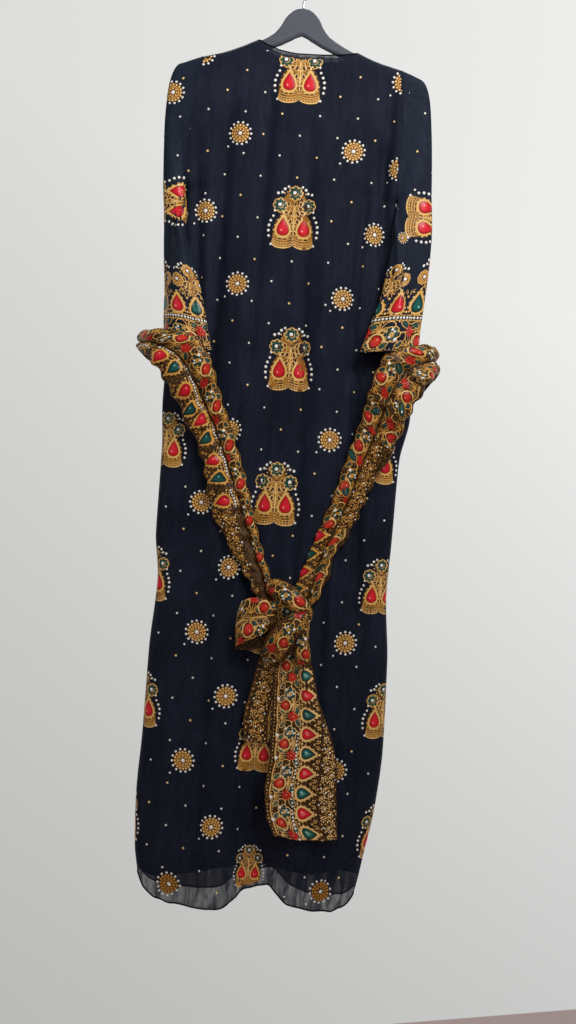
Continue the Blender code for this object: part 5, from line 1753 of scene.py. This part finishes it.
# Below this drop the cloth is unlined and its print paler.
SHEER_FROM, SHEER_FADE = 1480, 0.6


def free(across, drop, taken):
    return all((across - a) ** 2 + (drop - d) ** 2 > r * r for a, d, r in taken)


def lay_dot(piece, lie, i, k, drop, across):
    """Every third dot is gold."""
    piece.lay(lie, DOT if (i + k) % 3 == 0 else PALE_DOT, drop, across)


def lay_open_print(name, lie, figures, medallions, dot_shift):
    piece, taken = Print(name), []
    for x, drop, scale in figures:
        across = lie.across_at(x, drop)
        piece.lay(lie, FIGURE, drop, across, scale=scale)
        taken.append((across, drop, FIGURE_CLEAR * scale))
    for k, (x, drop) in enumerate(medallions):
        across = lie.across_at(x, drop)
        piece.lay(lie, MEDALLION, drop, across, turn=11 * k, fade=SHEER_FADE if drop > SHEER_FROM else 1.0)
        piece.lay(lie, pearl(2.0, 6), drop + 22, across - 21)
        taken.append((across, drop, MEDALLION_CLEAR))
    for i in range(-8, 9):
        for k in range(22):
            across = DOT_COLUMNS * i + 8
            drop = DOT_TOP + DOT_ROWS * k + (DOT_ROWS / 2 if i % 2 else 0) + dot_shift
            if free(across, drop, taken):
                lay_dot(piece, lie, i, k, drop, across)
    piece.finish()


print("dots", DOT_COLUMNS, "by", DOT_ROWS, "mm apart")

# %% Print on the front
MIDDLE_FIGURES = ((2, 114), (7, 361), (16, 600), (6, 828), (16, 1045))
SIDE_FIGURES = (
    (-186, 520), (-185, 748), (-190, 975), (-192, 1188), (-214, 1384), (172, 754), (193, 973),
    (210, 1182), (205, 1387),
)
SIDE_SCALE = 0.87
FOOT_FIGURES = ((0, 1250, 0.85), (1, 1456, 0.66))
MEDALLIONS = (
    (-93, 222), (-81, 477), (-77, 724), (-64, 954), (-55, 1169), (-65, 1387), (100, 241), (98, 491),
    (91, 730), (110, 890), (139, 1069), (136, 1283), (-143, 356), (-140, 600), (-118, 848), (-111, 1066),
    (-120, 1282), (-129, 1490), (178, 265), (145, 378), (124, 1485), (178, 118), (-163, 90),
)
figures = [(*place, 1.0) for place in MIDDLE_FIGURES] + [(*place, SIDE_SCALE) for place in SIDE_FIGURES]
lay_open_print("front_print", body_lie(FRONT, 3), figures + list(FOOT_FIGURES), MEDALLIONS, 0)

# %% Print on the back
BACK_ROWS = [121 + 236 * k for k in range(6)]
HALF_ROW = 118
figures = [(0, drop, 1.0) for drop in BACK_ROWS]
figures += [(side * 182, drop + HALF_ROW, SIDE_SCALE) for drop in BACK_ROWS for side in (-1, 1)]
medallions = [(side * 90, drop + HALF_ROW) for drop in BACK_ROWS for side in (-1, 1)]
medallions += [(side * 140, drop) for drop in BACK_ROWS for side in (-1, 1)]
lay_open_print("back_print", body_lie(BACK, 4), figures, medallions, 20)

# %% [markdown]
# Each cuff wears the border, with a crown of scrolls over every repeat. Higher up the print lies on its
# side, because the sleeve was cut across the cloth. The border follows the sleeve's slanting rings and
# the rest stands on level rows, so the sleeve is read in two ways.

# %% A sleeve as a map
LEVEL_TOP, LEVEL_ROWS, LEVEL_ABOVE_HEM = 112.0, 4.0, 4


def ring_lie(grid):
    """A tube opened along the middle of its rear, with nought at the middle of its front."""
    cols = grid.shape[1]
    start = 3 * cols // 4
    opened = np.concatenate([grid[:, start:], grid[:, : start + 1]], axis=1)
    centre = grid.mean(axis=1, keepdims=True)
    down = run_length(opened, 0).mean(axis=1)
    return Lie(opened, opened - centre, down=down - down[-1], edge=0.0)


def level_lie(grid, sideways, middle):
    """A sleeve read by level rows, with nought where its front reaches the x called middle."""
    half = grid.shape[1] // 2
    order = list(range(half, -1, -1)) + list(range(grid.shape[1] - 1, half, -1))
    drops = np.arange(LEVEL_TOP, grid[-1, :, 2].min() - LEVEL_ABOVE_HEM, LEVEL_ROWS)
    rows = np.zeros((len(drops), len(order), 3))
    for k, c in enumerate(order):
        for axis in range(3):
            rows[:, k, axis] = np.interp(drops, grid[:, c, 2], grid[:, c, axis])
    aside = sideways * (rows[..., 0] - middle)
    top = aside[:, half : half + 1]
    aside[:, half:] = 2 * top - aside[:, half:]
    level = np.abs(rows[..., 2] - drops[:, None]) < 1.0
    centre = (rows * level[..., None]).sum(axis=1) / np.maximum(level.sum(axis=1), 1)[:, None]
    return Lie(rows, rows - centre[:, None], down=drops, zero=np.maximum.accumulate(aside, axis=1),
               keep=lambda p: np.abs(p[..., 2] - drops[:, None]) < 1.0)


print("level rows", LEVEL_ROWS, "mm apart")

# %% Print on the sleeves
CUFF_CROWN = tree_of_scrolls(GOLD, TREE_PEARLS)
CUFF_SIZE = 1.12
STONE_IN_REPEAT = 16.5
BORDER_TALL, CROWN_FOOT = 88, 86
SLEEVE_FIGURES = ((0, 0.0), (-112, 96.0))


def lay_cuff(piece, lie, grid, first_stone, crown_shift):
    """Whole repeats round the hem, with a crown over each."""
    hem = run_length(np.concatenate([grid, grid[:, :1]], axis=1), 1)[-1, -1]
    repeats = round(hem / PERIOD / CUFF_SIZE)
    size = hem / repeats / PERIOD
    start = lie.place(*first_stone)[1] - STONE_IN_REPEAT * size
    for k in range(-repeats, repeats):
        across = start + PERIOD * size * k
        if -hem / 2 - 1 < across < hem / 2 - PERIOD * size / 2 - 1:
            piece.lay(lie, BORDER, 0.0, across, scale=size, keep=lambda d, a: d > -BORDER_TALL * size)
            piece.lay(lie, CUFF_CROWN, -CROWN_FOOT * size, across + PERIOD * size / 2 + crown_shift,
                      scale=0.94, keep=lambda d, a: d < -(CROWN_FOOT - 2) * size)
    print(piece.name, "hem", round(hem), "mm,", repeats, "repeats of size", round(size, 2))


def lay_sleeve(side, sideways, first_stone, crown_shift, figure_stones, medallion):
    grid, piece, taken = SLEEVE_GRIDS[side + "_sleeve"], Print(side + "_sleeve_print"), []
    lay_cuff(piece, ring_lie(grid), grid, first_stone, crown_shift)
    upright = level_lie(grid, sideways, figure_stones[0])
    foot = grid[-1, :, 2].min() - 160
    for higher, across in SLEEVE_FIGURES:
        piece.lay(upright, FIGURE, figure_stones[1] + higher, across + 14.0, 90)
        taken.append((across + 30, figure_stones[1] + higher, 66.0))
    x, drop, scale = medallion
    across = sideways * (x - figure_stones[0]) * 1.04
    piece.lay(upright, MEDALLION, drop, across, scale=scale)
    taken.append((across, drop, 26.0))
    for i in range(-3, 6):
        for k in range(8):
            across, drop = 30.0 * i + 6, 134.0 + 66 * k + (33 if i % 2 else 0)
            if drop < foot and free(across, drop, taken):
                lay_dot(piece, upright, i, k, drop, across)
    piece.finish()


lay_sleeve("left", -1.0, (-179, 505), 8.0, (-190, 345), (-211, 159, 1.0))
lay_sleeve("right", 1.0, (191, 493), 0.0, (231, 345), (192, 383, 0.5))

# %% [markdown]
# The sash is covered with the border from edge to edge. On its arms each of the two rolls wears its own
# strip, and the valley between them is left without print: partly because the folded cloth hides its
# print there, and partly as painted shade, since its dark ground draws the fold's shadow.

# %% Print on the sash's arms
# Half the width of the unprinted valley, a strip of painted shade along each arm's fold.
VALLEY_HALF = 2.4
END = 2000.0
BROAD_LEAF = gather(
    base(circle(14, 14, 0.55), (0, 0), UMBER, 0.1, 0.5),
    raised(circle(11.5, 14, 0.52), (0, 0), [(1.0, 0.54, 0.2), (0.6, 0.85, 0.7)], LEAF),
    wire(circle(12.5, 14, 0.55), 1.8, 0.8, 0.95, closed=True, rim=0.3),
    wire([(-9, 0), (0, 0.8), (9, 0)], 1.3, 1.05, 0.9),
)


def lay_border(piece, lie, start, end, offset, inward, keep=None, stretch=1.0, shape=BORDER):
    """The border along a band. Offset is where its scalloped edge lies across the band."""
    along = start
    while along < end + PERIOD:
        piece.lay(lie, shape, along, offset, turn=90 if inward > 0 else -90, keep=keep)
        along += PERIOD * stretch


def lay_arm(side, muting_and_painted_light, parts, leaves=()):
    """Parts are: from, to, whether on the inner roll, shape, offset, side, stretch and start."""
    grid, valley = ARM_GRIDS[side], VALLEYS[side]
    lie, piece = Lie(grid, grid_normals(grid, FORWARD), zero=0, edge=0.0), Print(side + "_arm_print", muting_and_painted_light)
    for low, high, inner, shape, offset, inward, stretch, start in parts:
        def keep(d, a):
            middle = np.interp(d, *valley)
            roll = a < middle - VALLEY_HALF if inner else a > middle + VALLEY_HALF
            return roll & (d >= low) & (d < high)

        lay_border(piece, lie, start, min(high, lie.down[-1]), offset, inward, keep, stretch, shape)
    for x, drop, turn in leaves:
        piece.lay(lie, BROAD_LEAF, *lie.place(x, drop), turn)
    piece.finish()


lay_arm("left", 0.84, (
    (0, END, True, BORDER, 0, 1, 1.0, -70),
    (0, 285, False, BORDER, 2, 1, 1.15, -6), (285, 462, False, BORDER, -12, 1, 1.12, 207.5),
    (462, END, False, FINE_GOLD, -52, 1, 1.0, 392), (462, END, False, FINE_GOLD, -22, 1, 1.0, 420),
))
lay_arm("right", 0.77, (
    (0, 270, True, BORDER, 0, 1, 1.08, -70), (0, 270, False, BORDER, 88, -1, 1.08, -70),
    (270, 440, True, BORDER, 0, 1, 1.0, 200), (270, 440, False, BORDER, -60, 1, 1.0, 200),
    (440, END, True, BORDER, -60, 1, 1.0, 370), (440, END, False, BORDER, 56, -1, 1.0, 370),
), leaves=((197, 606, 30), (165, 680, -40), (206, 675, 60), (129, 751, 20), (123, 815, 50), (86, 945, -30)))

# %% Print on the band and the tails
def flat_band(name, grid, outward, muting_and_painted_light):
    return Lie(grid, outward, zero=0, edge=0.0), Print(name, muting_and_painted_light)


lie, band = flat_band("back_band_print", BACK_BAND, -FORWARD, 0.85)
lay_border(band, lie, -60, lie.down[-1], -2, 1)
band.finish()

# The front tail wears loose beads along its edge, and pearls among the flowers.
# Its tones are raised by 1.15, a painted light that makes up for the lamps' light falling off low down.
lie, tail = flat_band("front_tail_print", TAIL_GRIDS["front"], FORWARD, 1.15)
for shape, offset in ((FLOWER_STRIP, 9), (STONE_ROW, 0), (FINE_GOLD, 0)):
    lay_border(tail, lie, -61, lie.down[-1], offset, 1, shape=shape)
chance = np.random.default_rng(8)
for along in np.arange(4, lie.down[-1], 6.0):
    tail.lay(lie, bead(chance.uniform(1.2, 2.0), 5, tone=0.8), along, 3.6 + chance.uniform(-1.2, 1.2))
    if along > 150:
        tail.lay(lie, pearl(chance.uniform(1.4, 2.4), 6), along, 47 + chance.uniform(-1.6, 1.6))
for along in (96, 158, 196, 262, 300):
    tail.lay(lie, pearl(3.4, 8), along, 11)
tail.finish()

lie, tail = flat_band("back_tail_print", TAIL_GRIDS["back"], FORWARD, 0.95)
for offset, inward, keep in ((-84, 1, lambda d, a: a < 40), (87, -1, lambda d, a: a >= 42)):
    lay_border(tail, lie, -40, lie.down[-1], offset, inward, keep)
for k, (along, across) in enumerate(((34, 58), (58, 64), (84, 66), (112, 70), (136, 68))):
    tail.lay(lie, round_stone(5.2, EMERALD if k % 2 else RUBY), along, across)
tail.finish()

# %% Print on the knot
KNOT_DIM = 0.86
for name, grid in ROLL_GRIDS.items():
    lie, roll = ring_lie(grid), Print(name + "_print", KNOT_DIM)
    lay_border(roll, lie, lie.down[0] - 30, lie.down[-1], -22, 1, lambda d, a: np.abs(a) < 21)
    roll.finish()

lie, loop = flat_band("loop_print", LOOP_GRID, loop_facing, KNOT_DIM)
for k in range(4):
    loop.lay(lie, FLOWER_STRIP, 29, PERIOD * k - 7.5)
    loop.lay(lie, FLOWER_STRIP, 30, PERIOD * k + 20, turn=180, mirror=True)
loop.finish()

# %% [markdown]
# Every cloth has the size that a maker would cut it to, as far as it shows, listed in a table: width
# and length in metres, and the area where the cut isn't a rectangle.

# %% Cut sizes and finishes
# For each cloth: flat size, area, how it is held, what it rests on, and its other pieces.
CUTS = {
    "front_panel": ((0.46, 1.48), 0.60, "hung", "hanger_body",
                    "front_print front_panel_hem_roll left_side_seam right_side_seam"),
    "back_panel": ((0.45, 1.47), 0.58, "hung", "hanger_body", "back_print back_panel_hem_roll neck_edge"),
    "front_lining": ((0.43, 1.42), 0.55, "hung", "hanger_body", ""),
    "back_lining": ((0.43, 1.42), 0.55, "hung", "hanger_body", ""),
    "left_sleeve": ((0.24, 0.50), 0.068, "hung", "front_panel",
                    "left_sleeve_print left_sleeve_hem_roll left_sleeve_armhole_roll"),
    "right_sleeve": ((0.26, 0.48), 0.075, "hung", "front_panel",
                     "right_sleeve_print right_sleeve_hem_roll right_sleeve_armhole_roll"),
    "sash_back_cloth": ((0.083, 0.45), None, "gathered", "back_panel", "back_band_print"),
    "sash_arm_left_cloth": ((0.09, 0.63), None, "gathered", "left_sleeve front_panel", "left_arm_print"),
    "sash_arm_right_cloth": ((0.088, 0.60), None, "gathered", "right_sleeve front_panel", "right_arm_print"),
    "sash_tail_front_cloth": ((0.124, 0.335), None, "hung", "knot_middle", "front_tail_print"),
    "sash_tail_back_cloth": ((0.085, 0.165), None, "hung", "knot_middle", "back_tail_print"),
    "knot_wrap": ((0.095, 0.12), None, "gathered", "front_panel", "knot_wrap_print"),
    "knot_middle": ((0.13, 0.14), None, "gathered", "front_panel", "knot_middle_print"),
    "knot_side": ((0.068, 0.10), None, "gathered", "front_panel", "knot_side_print"),
    "knot_loop": ((0.075, 0.165), None, "folded", "knot_middle", "loop_print"),
}
for name, (flat, area, held, rests_on, others) in CUTS.items():
    others = [bpy.data.objects[other] for other in others.split()]
    slot = "dark_lining" if "lining" in name else "navy_georgette"
print(len(CUTS), "cloths declared")
